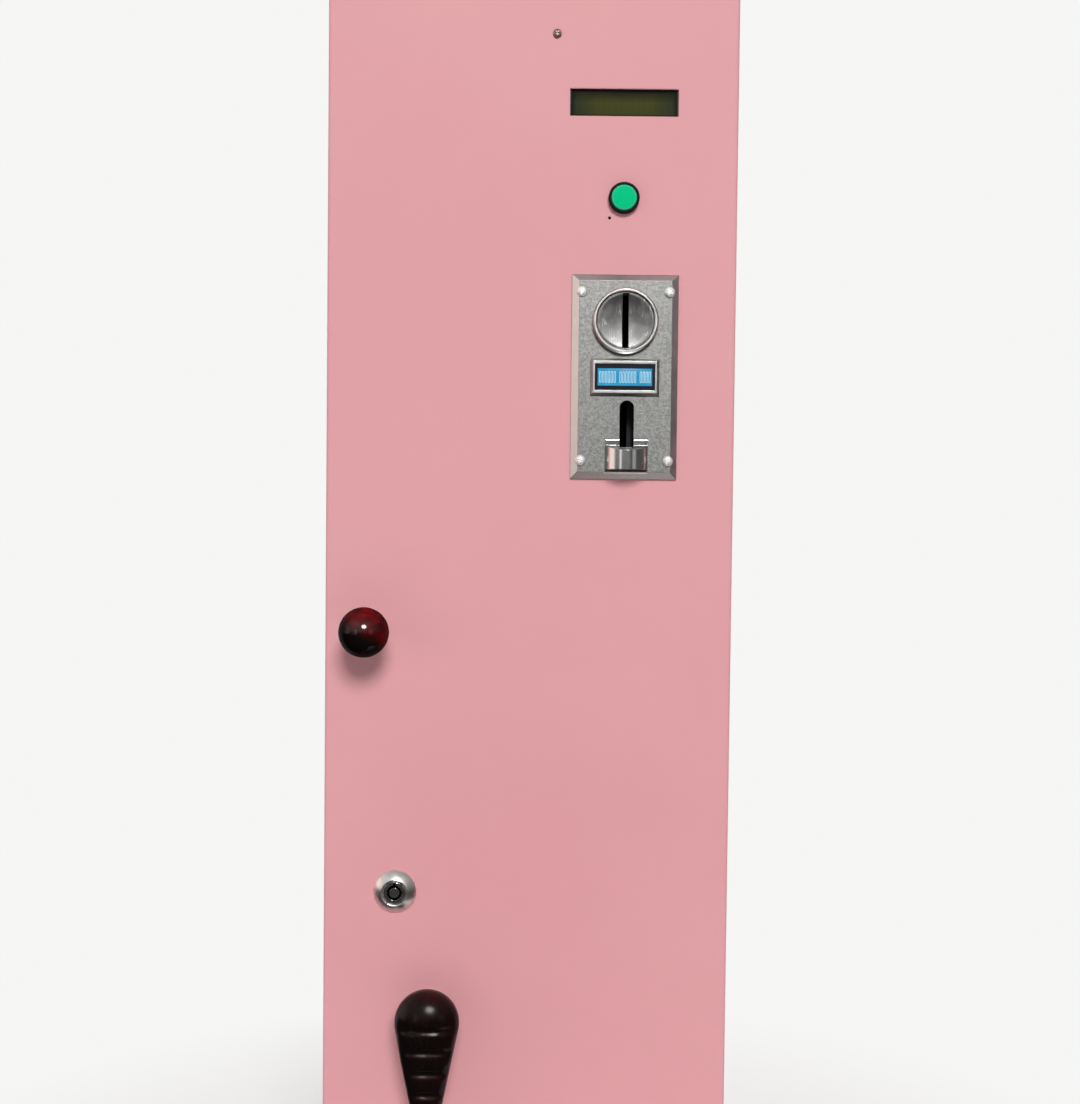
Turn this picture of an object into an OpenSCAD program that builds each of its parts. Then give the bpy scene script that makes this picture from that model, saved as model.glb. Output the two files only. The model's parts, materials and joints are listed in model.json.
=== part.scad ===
// Coin-operated packet dispenser: a narrow folded steel cabinet with a full-width door.
// Millimetres, +Z up, the door faces -Y. The origin is the middle of the cabinet's underside.

/* [Cabinet] */
// Width of the cabinet and of the door
cab_w = 250; // [246:1:280]
// Depth from the door's face to the wall face
cab_d = 190; // [188:1:220]
// Height of the cabinet
cab_h = 900; // [890:1:960]
// Thickness of the sheet steel
sheet = 1.2; // [1:0.1:1.5]
// Outside radius of the folds
fold_r = 2; // [1.8:0.1:3]
// Width of the flanges that frame the mouth
mouth_flange = 18; // [16:0.5:18]
// Radius of a wall fixing hole
wall_hole_r = 4.25; // [3:0.25:5]
// Distance between the wall holes across the back
wall_hole_dx = 170; // [160:1:172]
// Distance between the wall holes up the back
wall_hole_dz = 660; // [600:10:680]

/* [Door] */
// Depth of the door's folded pan
door_d = 20; // [19:0.5:21]
// Gap between the closed door and the cabinet
door_gap = 3; // [2.8:0.1:3.2]
// Height of the door's lower edge above the base
door_lift = 3; // [2:0.5:6]
// Distance of the hinge pins from the door's side and from its rear edge
hinge_inset = 5.5; // [5.4:0.1:5.8]
// Radius of a hinge pin
pin_r = 2.5; // [2:0.1:2.8]

/* [Front controls] */
// Distance of the controls' centre line from the door's right edge
controls_inset = 67.8; // [62:0.1:74]
// Distance of the text display left of the centre line
display_left = 2; // [0:0.1:4]
// Distance of the text display below the top
display_drop = 106; // [90:1:112]
// Width of the display window
window_w = 66; // [60:0.5:66]
// Height of the display window
window_h = 16.5; // [14:0.5:17]
// Distance of the push button left of the centre line
button_left = 1.6; // [0:0.1:4]
// Distance of the push button below the top
button_drop = 164; // [150:0.5:172]
// Radius of the push button's bezel
bezel_r = 9.4; // [9.2:0.1:11]
// Radius of the push button's cap
cap_r = 7.7; // [6:0.1:7.7]
// Travel of the push button
button_travel = 2.5; // [1:0.1:3]
// Distance of the earth screw right of the middle
earth_x = 14; // [-60:1:18]
// Distance of the earth screw below the top
earth_drop = 65; // [45:1:90]

/* [Coin acceptor] */
// Distance of the acceptor's middle below the top
acceptor_drop = 272.5; // [265:0.5:290]
// Width of the front plate
plate_w = 65; // [63:0.5:68]
// Height of the front plate
plate_h = 124.5; // [122:0.5:130]
// Thickness of the front plate
plate_t = 5; // [4:0.5:6]
// Width of the bevel round the front plate
plate_bevel = 4.2; // [2:0.1:4.5]
// Outside radius of the ring round the coin entry
ring_r = 20; // [19.4:0.1:20.4]
// Thickness of a coin slot
coin_slot = 4; // [3:0.1:4.4]
// Travel of the coin entry when it is pressed to free a coin
entry_travel = 3; // [1:0.5:4]
// Depth of the housing behind the door
acceptor_depth = 56; // [52:1:60]

/* [Door hardware] */
// Distance of the ball knob from the left edge
knob_inset = 27.5; // [24:0.5:32]
// Height of the ball knob
knob_z = 472; // [440:1:500]
// Radius of the ball
ball_r = 15; // [12:0.5:18]
// Distance of the ball's centre from the door's face
ball_out = 29; // [28:0.5:36]
// Distance of the lock from the left edge
lock_inset = 44.3; // [42:0.1:46]
// Height of the lock
lock_z = 309; // [306:1:330]
// Radius of the lock's bezel
lock_r = 13.1; // [12:0.1:15]
// Reach of the lock's cam
cam_reach = 34; // [30:1:36]
// Distance of the turn handle from the left edge
handle_inset = 66.4; // [64:0.1:68]
// Height of the turn handle's hub
handle_z = 235.5; // [232:0.5:238]
// Radius of the handle's head
head_r = 20; // [18:0.5:22]
// Radius of the handle's tip
tip_r = 7.5; // [6:0.5:9]
// Distance from the hub to the tip's centre
handle_len = 61.5; // [55:0.5:66]
// Distance of the handle's crown from the door's face
handle_out = 36; // [34:0.5:40]
// Distance between the grip's grooves
groove_pitch = 13.3; // [12:0.1:14]
// Reach of the latch tongue
tongue_reach = 56; // [50:1:58]

/* [Outlet] */
// Width of the outlet in the door
outlet_w = 118; // [100:1:120]
// Height of the outlet in the door
outlet_h = 60; // [50:1:62]
// Height of the outlet's lower edge
outlet_z = 50; // [48:1:54]
// Depth of the retrieval tray behind the door
tray_d = 64; // [60:1:65]

/* [Dispenser] */
// Width of a packet
packet_w = 70; // [60:1:72]
// Depth of a packet
packet_d = 55; // [50:1:57]
// Height of a packet
packet_h = 18; // [17:1:24]
// Play of a packet in the column
packet_play = 4; // [2:0.5:5]
// Height of the bed that the packets lie on
bed_z = 260; // [256:1:270]
// Height of the packet column
column_h = 540; // [400:10:560]
// Height of the pusher's blade
blade_h = 12; // [9:0.5:13]
// Module of the rack and its pinion
gear_module = 1.25; // [1.2:0.05:1.3]
// Number of teeth on the pinion
pinion_teeth = 18; // [17:1:19]

/* [Cash and power] */
// Height of the cash box
cash_h = 90; // [60:1:96]
// Depth of the cash box
cash_d = 110; // [90:1:130]
// Height of the mains inlet
inlet_z = 90; // [70:1:110]
// Height of the power supply's lower end
supply_z = 420; // [300:5:500]
// Height of the control board's lower edge
board_z = 640; // [560:5:650]

/* [Hidden] */
$fn = 64;
// Side clearance of a screw or a barrel in its hole
hole_fit = 0.15;
// Radial play of a turning or sliding round fit
run_fit = 0.05;
// Gap left between two welded or stacked sheets
seam = 0.1;
// Clear gap between pieces that move past each other
move_gap = 0.4;
// Overlap that joins two bodies of one casting or takes a cut past a face
eps = 0.5;
// Radial play of a pressed bore
press = 0.02;
// Barrels, studs and shanks that the holes follow
button_r = 8;
lock_body_r = 9.4;
sleeve_r = 8;
spindle_r = 5;
tail_r = 4;
stud_r = 4;
shank_r = 2;
earth_r = 1.9;
board_screw_r = 1.5;
pilot_r = 0.9;
// Thickness of the circuit boards
board_t = 1.6;
y_face = -cab_d / 2;
y_wall = cab_d / 2;
y_in = y_face + sheet;
y_pan = y_face + door_d;
y_mouth = y_pan + door_gap;
y_back = y_wall - sheet;
x_side = cab_w / 2;
x_in = x_side - sheet;
hinge_x = x_side - hinge_inset;
hinge_y = y_pan - hinge_inset;
controls_x = x_side - controls_inset;
display_x = controls_x - display_left;
display_z = cab_h - display_drop;
button_x = controls_x - button_left;
button_z = cab_h - button_drop;
acceptor_z = cab_h - acceptor_drop;
knob_x = knob_inset - x_side;
lock_x = lock_inset - x_side;
handle_x = handle_inset - x_side;
// Plane of the cam and of the latch tongue behind the mouth flange
latch_in = door_d + door_gap + sheet + 0.5;
// Coin entry, small display and return slot on the front plate
entry_up = plate_h / 2 - 28.75;
entry_back = 3.5;
frame_up = -0.5;
plate_hole_dx = plate_w / 2 - 5.9;
plate_hole_dz = plate_h / 2 - 11.05;
return_x = 1.5;
slot_half = 4.3;
frame_w = 41.8;
frame_h = 22.6;
glass_w = 36.6;
glass_h = 16;
// Packet column and pusher
column_x = (packet_w + packet_play) / 2 + sheet;
column_y1 = y_back - 25.5;
column_y0 = column_y1 - packet_d - packet_play - 2 * sheet;
bed_t = 2;
bed_flange = 36;
bed_y0 = column_y0 - 3;
// Straps that hold the column, at these heights
strap_h = 20;
strap_zs = [bed_z + 60, bed_z + column_h - 70];
blade_t = 3;
blade_y = column_y1 + 0.8;
push_travel = blade_y - column_y0;
arm_x0 = column_x + 1.8;
arm_y1 = y_back - 5;
arm_z0 = bed_z + 0.3;
arm_h = blade_h - 2;
rack_pitch = PI * gear_module;
pitch_r = gear_module * pinion_teeth / 2;
rack_x = arm_x0 + 7;
pinion_x = rack_x + pitch_r;
pinion_y = arm_y1 - push_travel - 8;
arm_y0 = pinion_y - 10;
tooth_top = 0.9 * gear_module;
tooth_root = 1.2 * gear_module;
backlash = 0.12;
motor_r = 18.5;
shaft_r = 3;
// Outlet
flap_drop = 3;
rod_z = outlet_z + outlet_h + flap_drop;
rod_y = y_in + 4.2;
rod_r = 2;
tray_x = outlet_w / 2 + 5;
tray_z = outlet_z - 6;
// Cash box: it draws out between the retrieval tray and the right flange, above the lower hinge bracket
tray_gap = 0.6;
flange_gap = 1.5;
hinge_tab_h = 14;
hinge_tab_z = door_lift + sheet + move_gap;
cash_x0 = tray_x + sheet + tray_gap;
cash_x1 = x_side - mouth_flange - flange_gap;
cash_w = cash_x1 - cash_x0;
cash_z = hinge_tab_z + hinge_tab_h + 1.6;
cash_y0 = y_mouth + 6;
coin_y0 = y_face + 17;
coin_y1 = y_face + 53;
// Coin housing and the chute from it down to the cash box
housing_half = plate_h / 2 - 2.25;
chute_wall = 1;
chute_half = 5;
chute_top = acceptor_z - housing_half - 1;
chute_low = cash_z + cash_h + 12;
chute_x = cash_x0 + cash_w / 2 + 2;
chute_y0 = cash_y0 + 4;
chute_y1 = chute_y0 + 27;
// Mains inlet
inlet_y = y_wall - 45;
socket_dz = -11;
switch_dz = 13.5;
rocker_x = -x_side - 1;
rocker_tilt = 8;

// Shared helpers

// A box between two corners
module span(low, high) {
  translate(low) cube(high - low);
}

// A flat shape in X and Z, drawn out along Y
module out_y(y0, y1) {
  translate([0, y1, 0]) rotate([90, 0, 0]) linear_extrude(y1 - y0) children();
}

// A flat shape in Y and Z, drawn out along X
module out_x(x0, x1) {
  translate([x0, 0, 0]) rotate([90, 0, 90]) linear_extrude(x1 - x0) children();
}

// A round bar along Y
module bar_y(r, y0, y1) {
  translate([0, y1, 0]) rotate([90, 0, 0]) cylinder(r = r, h = y1 - y0);
}

// A round bar along X
module bar_x(r, x0, x1) {
  translate([x0, 0, 0]) rotate([0, 90, 0]) cylinder(r = r, h = x1 - x0);
}

// A six-sided bar along Y
module hex_y(r, y0, y1) {
  translate([0, y1, 0]) rotate([90, 0, 0]) cylinder(r = r, h = y1 - y0, $fn = 6);
}

// A six-sided nut along Y with its bore
module nut_y(r, bore, y0, y1) {
  difference() {
    hex_y(r, y0, y1);
    bar_y(bore, y0 - eps, y1 + eps);
  }
}

// A profile of radius and distance out of the door, turned about Y
module turned() {
  rotate([90, 0, 0]) rotate_extrude() children();
}

// A point on the door's face, with +Y into the cabinet
module on_door(x, z) {
  translate([x, y_face, z]) children();
}

// The four corners of a rectangle in X and Z
module corners(dx, dz) {
  for (sx = [-1, 1])
    for (sz = [-1, 1])
      translate([sx * dx, 0, sz * dz]) children();
}

// A rectangle with its edge on Y = 0 and the two corners there rounded
module fold_outline(w, d, r) {
  translate([-w / 2, r]) square([w, d - r]);
  translate([r - w / 2, 0]) square([w - 2 * r, d]);
  for (s = [-1, 1])
    translate([s * (w / 2 - r), r]) circle(r);
}

// A folded channel open towards +Y
module fold_channel(w, d, t, r) {
  difference() {
    fold_outline(w, d, r);
    translate([0, t]) fold_outline(w - 2 * t, d, r - t);
  }
}

// A block whose four front edges are bevelled, its back on Y = 0
module bevelled(w, h, t, bevel, lip) {
  intersection() {
    out_x(-w / 2, w / 2) polygon([
      [0, -h / 2], [-lip, -h / 2], [-t, bevel - h / 2],
      [-t, h / 2 - bevel], [-lip, h / 2], [0, h / 2]]);
    translate([0, 0, -h / 2]) linear_extrude(h) polygon([
      [-w / 2, 0], [-w / 2, -lip], [bevel - w / 2, -t],
      [w / 2 - bevel, -t], [w / 2, -lip], [w / 2, 0]]);
  }
}

// Cabinet

// Back and two sides in one folded sheet, with the flanges of the mouth
module cabinet_wrap() {
  depth = y_wall - y_mouth;
  slot_h = 5;
  slot_d = 46;
  color("pink") difference() {
    linear_extrude(cab_h) {
      translate([0, y_wall]) rotate(180) fold_channel(cab_w, depth, sheet, fold_r);
      for (x = [-x_side, x_side - mouth_flange])
        translate([x, y_mouth]) square([mouth_flange, sheet]);
    }
    for (sx = [-1, 1])
      for (sz = [-1, 1])
        translate([sx * wall_hole_dx / 2, 0, cab_h / 2 + sz * wall_hole_dz / 2])
          bar_y(wall_hole_r, y_back - eps, y_wall + eps);
    for (k = [0 : 6])
      span([-x_side - eps, y_back - 20 - slot_d, supply_z + 12 + 13 * k],
           [-x_in + eps, y_back - 20, supply_z + 12 + 13 * k + slot_h]);
    span([-x_side - eps, inlet_y - 14, inlet_z - 24], [-x_in + eps, inlet_y + 14, inlet_z + 24]);
    for (p = screw_places())
      translate([p[0], 0, p[1]]) bar_y(shank_r + hole_fit, y_back - eps, y_wall + eps);
  }
}

// Where the screws go into the back
function screw_places() = concat(
  [for (x = [-40, 0, 60]) [x, bed_z - bed_flange / 2]],
  [for (z = strap_zs) for (s = [-1, 1]) [s * (column_x + 4), z + strap_h / 2]]);

// A cap that closes one end of the wrap, with its flange at the mouth
module end_cap() {
  inner_r = fold_r - sheet;
  x1 = x_side - mouth_flange - seam;
  translate([0, y_back - seam]) rotate(180) linear_extrude(sheet)
    fold_outline(2 * (x_in - seam), y_back - seam - y_mouth - sheet - seam, inner_r);
  span([-x1, y_mouth, 0], [x1, y_mouth + sheet, mouth_flange]);
  span([-x1, y_mouth, 0], [x1, y_mouth + 3 * sheet, sheet]);
}

module cabinet_top() {
  color("pink") translate([0, 0, cab_h]) mirror([0, 0, 1]) end_cap();
}

module cabinet_base() {
  color("pink") end_cap();
}

// Hinge

// A goose-neck plate that reaches from the mouth flange to the pin, clear of the turning flange
module hinge_plate() {
  plate = 3;
  tab_t = 2;
  eye_r = hinge_inset - sheet - 0.3;
  neck_x0 = hinge_x - 26;
  neck_x1 = hinge_x - 14;
  difference() {
    union() {
      linear_extrude(plate) {
        translate([neck_x0, hinge_y - eye_r]) square([neck_x1 - neck_x0, y_mouth - hinge_y + eye_r]);
        translate([neck_x0, hinge_y - eye_r]) square([hinge_x - neck_x0, eye_r + 0.8]);
        translate([hinge_x, hinge_y]) circle(eye_r);
      }
      span([neck_x0 - 12, y_mouth - tab_t, 0], [neck_x1, y_mouth, hinge_tab_h]);
    }
    translate([hinge_x, hinge_y, -eps]) cylinder(r = pin_r + press, h = plate + 2 * eps);
  }
}

module hinge_brackets() {
  color("silver") {
    translate([0, 0, hinge_tab_z]) hinge_plate();
    translate([0, 0, cab_h - sheet - move_gap]) mirror([0, 0, 1]) hinge_plate();
  }
}

module hinge_pins() {
  pin_h = sheet + move_gap + 3;
  color("silver")
    for (z = [door_lift, cab_h - pin_h])
      translate([hinge_x, hinge_y, z]) cylinder(r = pin_r, h = pin_h);
}

// Soft stops that the door's free edge rests against
module door_buffers() {
  buffer_r = 3.5;
  from_end = 110;
  color("dimgray")
    for (z = [from_end, cab_h - from_end])
      translate([buffer_r + 0.6 - x_side, 0, z]) bar_y(buffer_r, y_mouth - door_gap + 0.3, y_mouth);
}

// Dispenser

// The upright channel that holds the packets; the lowest one leaves at the front
module packet_column() {
  lip = 12;
  d = packet_d + packet_play + 2 * sheet;
  gate = packet_h + 3;
  color("gainsboro") translate([0, column_y0, bed_z]) difference() {
    linear_extrude(column_h) difference() {
      translate([-column_x, 0]) square([2 * column_x, d]);
      translate([sheet - column_x, sheet]) square([2 * (column_x - sheet), d - 2 * sheet]);
      translate([lip - column_x, -eps]) square([2 * (column_x - lip), sheet + 2 * eps]);
    }
    span([-column_x - eps, -eps, -eps], [column_x + eps, sheet + move_gap, gate]);
    span([sheet - column_x, sheet, -eps], [column_x + eps, d + eps, blade_h + 3]);
  }
}

// A strap that holds the column off the back
module column_strap() {
  strap = 1.5;
  half = 30;
  foot = column_x + 10;
  span([-half, column_y1, 0], [half, column_y1 + strap, strap_h]);
  for (s = [-1, 1]) {
    translate([s * (half - strap / 2) - strap / 2, column_y1, 0])
      cube([strap, y_back - column_y1, strap_h]);
    translate([s * (half + foot) / 2 - (foot - half) / 2, y_back - strap, 0])
      cube([foot - half, strap, strap_h]);
  }
}

module column_brackets() {
  color("silver") difference() {
    for (z = strap_zs)
      translate([0, 0, z]) column_strap();
    for (p = screw_places())
      translate([p[0], 0, p[1]]) bar_y(shank_r + hole_fit, y_back - 10, y_back + eps);
  }
}

// The sheet shelf under the column, with the motor's seat and a flange on the back
module magazine_bed() {
  x0 = -column_x - 8;
  x1 = pinion_x + 22;
  color("gainsboro") difference() {
    union() {
      span([x0, bed_y0, bed_z - bed_t], [x1, y_back - seam, bed_z]);
      span([x0, y_back - seam - bed_t, bed_z - bed_flange], [x1, y_back - seam, bed_z]);
    }
    translate([pinion_x, pinion_y, bed_z - bed_t - eps]) cylinder(r = 6 + hole_fit, h = bed_t + 2 * eps);
    for (p = screw_places())
      translate([p[0], 0, p[1]]) bar_y(shank_r + hole_fit, y_back - 10, y_back + eps);
  }
}

// The rail and the stirrup that keep the rack on the bed
module rack_rails() {
  top_z = arm_z0 + arm_h + 0.3;
  tip_x = rack_x + tooth_top + move_gap;
  wall = 2;
  y_front = bed_y0;
  color("ivory") {
    span([tip_x, pinion_y + 15, bed_z], [tip_x + 4, arm_y1 - 2, top_z]);
    span([arm_x0 + 3, pinion_y + 15, top_z], [tip_x + 4, arm_y1 - 2, top_z + wall]);
    span([arm_x0 - 1.6, y_front, bed_z], [arm_x0 - move_gap, y_front + wall, top_z]);
    span([tip_x, y_front, bed_z], [tip_x + 1.6, y_front + wall, top_z]);
    span([arm_x0 - 1.6, y_front, top_z], [tip_x + 1.6, y_front + wall, top_z + wall]);
  }
}

// The geared motor under the bed
module gear_motor() {
  box_h = 26;
  can_h = 32;
  can_r = 17;
  color("silver") translate([pinion_x, pinion_y, bed_z - bed_t]) difference() {
    union() {
      cylinder(r = 6, h = bed_t);
      translate([0, 0, -box_h]) cylinder(r = motor_r, h = box_h);
      translate([0, 0, -box_h - can_h]) cylinder(r = can_r, h = can_h + eps);
      translate([0, 0, -box_h - can_h - 3]) cylinder(r = 5, h = 4);
    }
    translate([0, 0, -12]) cylinder(r = shaft_r + run_fit, h = 20);
  }
}

module motor_shaft() {
  color("silver") translate([pinion_x, pinion_y, bed_z - bed_t - 11.5]) cylinder(r = shaft_r, h = 24);
}

// Half the angle of a pinion tooth at a radius, from its involute
function rolled(a) = tan(a) * 180 / PI - a;
function half_tooth(r, base) = 90 / pinion_teeth + rolled(20) - rolled(acos(min(1, base / r)))
  - backlash / 2 / pitch_r * 180 / PI;
function polar(r, a) = [r * cos(a), r * sin(a)];

module pinion() {
  base = pitch_r * cos(20);
  root = pitch_r - tooth_root;
  tip = pitch_r + tooth_top;
  steps = 6;
  gear_h = 8;
  rise = (tip - base) / steps;
  outline = [for (k = [0 : pinion_teeth - 1]) let (mid = 180 + 360 / pinion_teeth * k) each concat(
    [polar(root, mid - half_tooth(base, base))],
    [for (j = [0 : steps]) let (r = base + rise * j) polar(r, mid - half_tooth(r, base))],
    [for (j = [steps : -1 : 0]) let (r = base + rise * j) polar(r, mid + half_tooth(r, base))],
    [polar(root, mid + half_tooth(base, base))])];
  color("white") translate([pinion_x, pinion_y, arm_z0 + 0.7]) difference() {
    linear_extrude(gear_h) polygon(outline);
    translate([0, 0, -eps]) cylinder(r = shaft_r + press, h = gear_h + 2 * eps);
  }
}

// The blade behind the lowest packet, its side arm and the rack
module pusher() {
  root_x = rack_x - tooth_root;
  tip_x = rack_x + tooth_top;
  half_pitch = rack_pitch / 4 - backlash / 2;
  first = ceil((arm_y0 - pinion_y) / rack_pitch);
  last = floor((arm_y1 - pinion_y) / rack_pitch) - 1;
  lean = tan(20);
  color("ivory") translate([0, 0, arm_z0]) {
    span([2 - column_x + sheet, blade_y, 0], [arm_x0 + eps, blade_y + blade_t, arm_h]);
    span([2 - column_x + sheet, blade_y, 0], [column_x - sheet - 2, blade_y + blade_t, blade_h]);
    span([column_x - 8, blade_y, 0], [arm_x0 + eps, blade_y + 3 * blade_t, arm_h]);
    linear_extrude(arm_h) {
      translate([arm_x0, arm_y0]) square([root_x - arm_x0, arm_y1 - arm_y0]);
      for (k = [first : last])
        translate([0, pinion_y + (k + 0.5) * rack_pitch]) polygon([
          [root_x - eps, -half_pitch - tooth_root * lean], [root_x, -half_pitch - tooth_root * lean],
          [tip_x, tooth_top * lean - half_pitch], [tip_x, half_pitch - tooth_top * lean],
          [root_x, half_pitch + tooth_root * lean], [root_x - eps, half_pitch + tooth_root * lean]]);
    }
  }
}

// The hopper that leads a packet from the bed down to the outlet
module delivery_chute() {
  top_z = bed_z - bed_t;
  x1 = column_x;
  y_front = y_mouth + 6;
  y_low = y_face + tray_d + 4;
  z_low = tray_z + 40;
  z_front = rod_z + 9;
  cheek = [[y_front, z_front], [y_front, top_z - 2], [bed_y0 - 2, top_z - 2], [bed_y0 - 2, top_z],
    [bed_y0 + 30, top_z], [bed_y0 + 30, top_z - 12], [bed_y0, top_z - 12], [y_low, z_low]];
  color("gainsboro") {
    out_x(-x1, sheet - x1) polygon(cheek);
    out_x(x1 - sheet, x1) polygon(cheek);
    out_x(-x1, x1)
      polygon([[bed_y0 - sheet, top_z - 12], [bed_y0, top_z - 12], [y_low, z_low], [y_low - sheet, z_low]]);
    span([-x1, y_front, z_front], [x1, y_front + sheet, top_z - 2]);
    for (s = [-1, 1])
      translate([s * (x1 - 5) - 5, bed_y0 + 2, top_z - sheet]) cube([10, 28, sheet]);
  }
}

// Cash

// The raised shelf under the cash box, with a guide along each side
module cash_shelf() {
  x0 = cash_x0 - 3;
  x1 = x_in - seam;
  y1 = cash_y0 + cash_d + 4;
  top_z = cash_z - 0.2;
  guide_h = 6;
  guide_x = cash_x1 + 0.6;
  color("gainsboro") {
    span([x0, cash_y0, top_z - sheet], [x1, y1, top_z]);
    span([x0, cash_y0, sheet], [x0 + sheet, y1, top_z + guide_h]);
    span([x1 - sheet, cash_y0, sheet], [x1, y1, top_z]);
    span([guide_x, cash_y0, top_z - sheet], [guide_x + sheet, y1, top_z + guide_h]);
    span([x0, y1 - sheet, top_z - sheet], [x1, y1, top_z + guide_h]);
  }
}

// The open box that the coins fall into, with a pull lip
module cash_box() {
  wall = 1.2;
  top_z = cash_z + cash_h;
  lip_x = 12;
  lip_out = 3;
  color("silver") {
    difference() {
      span([cash_x0, cash_y0, cash_z], [cash_x1, cash_y0 + cash_d, top_z]);
      span([cash_x0 + wall, cash_y0 + wall, cash_z + wall],
           [cash_x1 - wall, cash_y0 + cash_d - wall, top_z + eps]);
    }
    span([cash_x0 + lip_x, cash_y0 - lip_out, top_z - 24], [cash_x1 - lip_x, cash_y0 + eps, top_z - 22]);
    span([cash_x0 + lip_x, cash_y0 - lip_out, top_z - 32], [cash_x1 - lip_x, cash_y0 - 1.8, top_z - 22]);
  }
}

// How far down the chute a height lies, from 0 at its top to 1 at its mouth, and where its walls are there
function chute_share(z) = (chute_top - z) / (chute_top - chute_low);
function chute_mid(z) = controls_x + (chute_x - controls_x) * chute_share(z);
function chute_front(z) = coin_y0 + (chute_y0 - coin_y0) * chute_share(z);
function chute_back(z) = coin_y1 + (chute_y1 - coin_y1) * chute_share(z);

// A sloping bar between the acceptor and the cash box: the coins' way, or that way with its walls
module coin_chute_form(grow, past, open) {
  half = chute_half + grow;
  z0 = chute_low - past;
  z1 = chute_top + past;
  intersection() {
    out_y(coin_y0 - 10, chute_y1 + 10) polygon([
      [chute_mid(z1) - half, z1], [chute_mid(z0) - half, z0],
      [chute_mid(z0) + half, z0], [chute_mid(z1) + half, z1]]);
    out_x(controls_x - 80, controls_x + 80) polygon([
      [chute_front(z1) - grow, z1], [chute_back(z1) + grow + open, z1],
      [chute_back(z0) + grow + open, z0], [chute_front(z0) - grow, z0]]);
  }
}

// A folded channel, open at its back so that a stuck coin can be reached
module coin_chute() {
  foot_t = 1.5;
  below_top = 20;
  above_mouth = 68;
  color("gainsboro") {
    difference() {
      coin_chute_form(chute_wall, 0, 0);
      coin_chute_form(0, eps, 2 * chute_wall);
    }
    for (z = [chute_top - below_top, chute_low + above_mouth]) {
      x = chute_mid(z);
      span([x - 5, y_in, z], [x + 5, chute_front(z) - chute_wall + 0.2, z + foot_t]);
      span([x - 5, y_in, z], [x + 5, y_in + foot_t, z + 14]);
    }
  }
}

// Power and control

// A switched supply in a folded case on the left side
module power_supply() {
  case_h = 36;
  case_w = 78;
  case_l = 110;
  step = 16;
  y1 = y_back - 10;
  color("silver") difference() {
    span([-x_in, y1 - case_w, supply_z], [case_h - x_in, y1, supply_z + case_l]);
    span([14 - x_in, y1 - case_w + 4, supply_z - eps], [case_h - x_in + eps, y1 - 4, supply_z + step]);
    for (k = [0 : 8])
      span([case_h - x_in - 1, y1 - case_w + 8, supply_z + 28 + 8.5 * k],
           [case_h - x_in + eps, y1 - 8, supply_z + 32 + 8.5 * k]);
  }
}

// The screw terminals in the supply's notch
module terminal_block() {
  y1 = y_back - 15;
  ways = 7;
  way = 9;
  color("dimgray") difference() {
    span([14 - x_in, y1 - ways * way, supply_z + 1], [27 - x_in, y1, supply_z + 15.5]);
    for (k = [0 : ways - 1])
      span([20 - x_in, y1 - way * k - way + 1, supply_z], [28 - x_in, y1 - way * k - 1, supply_z + 12]);
  }
}

// The control board on the back, right of the column
board_room = 9.6;
board_x0 = column_x + 14;
board_w = x_in - board_room - board_x0;
board_h = 100;
board_y = y_back - 10;

module board_corners() {
  edge = 4;
  translate([board_x0 + board_w / 2, 0, board_z + board_h / 2])
    corners(board_w / 2 - edge, board_h / 2 - edge) children();
}

module control_board() {
  color("darkgreen") difference() {
    span([board_x0, board_y, board_z], [board_x0 + board_w, board_y + board_t, board_z + board_h]);
    board_corners()
      bar_y(board_screw_r + hole_fit, board_y - eps, board_y + board_t + eps);
  }
}

module board_spacers() {
  post_r = 2.5;
  head_r = 2.8;
  head_h = 2.2;
  color("silver") board_corners() {
    bar_y(post_r, board_y + board_t, y_back);
    bar_y(board_screw_r, board_y - head_h / 2, board_y + board_t + eps);
    bar_y(head_r, board_y - head_h, board_y);
  }
}

// Relays, sockets, a chip and two capacitors on the board
module board_parts() {
  relay = [15, 15, 19];
  socket = [20, 9, 8];
  socket_x = board_x0 + board_w - 9 - socket[0];
  color("dimgray") {
    for (k = [0 : 2])
      translate([board_x0 + 4, board_y - relay[1], board_z + 10 + 22 * k]) cube(relay);
    for (k = [0 : 2])
      translate([socket_x, board_y - socket[1], board_z + 10 + 10 * k]) cube(socket);
    translate([socket_x + 3, board_y - 2, board_z + 44]) cube([14, 2, 14]);
    for (k = [0, 1])
      translate([socket_x + 4 + 12 * k, 0, board_z + 67]) bar_y(5, board_y - 14, board_y);
    translate([board_x0 + 10, board_y - 11, board_z + 80]) cube([board_w - 22, 11, 7]);
  }
}

// The switched mains inlet in the left side
module mains_inlet() {
  flange_t = 2.5;
  color("dimgray") translate([0, inlet_y, inlet_z]) difference() {
    union() {
      span([-x_side - flange_t, -15.5, -25.5], [-x_side, 15.5, 25.5]);
      span([-x_side - eps, -13.8, -23.8], [26 - x_side, 13.8, 23.8]);
    }
    span([-x_side - flange_t - eps, -12.2, socket_dz - 8.3], [17 - x_side, 12.2, socket_dz + 8.3]);
    span([-x_side - flange_t - eps, -10.5, switch_dz - 7.2], [9 - x_side, 10.5, switch_dz + 7.2]);
  }
}

module inlet_blades() {
  blade = [15, 2, 4];
  color("gold") translate([2 - x_side, inlet_y, inlet_z + socket_dz])
    for (p = [[0, 2], [-7, -2], [7, -2]])
      translate([0, p[0] - 1, p[1] - 2]) cube(blade);
}

// The rocker of the mains switch, resting on its lower half
module power_rocker() {
  half = 6.3;
  color("firebrick") translate([rocker_x, inlet_y, inlet_z + switch_dz]) rotate([0, -rocker_tilt, 0]) {
    out_y(-10, 10) polygon([[2.2, -half], [-2.4, -half], [-1.2, 0], [-2.4, half], [2.2, half]]);
    bar_y(1.5, -10.4, 10.4);
  }
}

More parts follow.
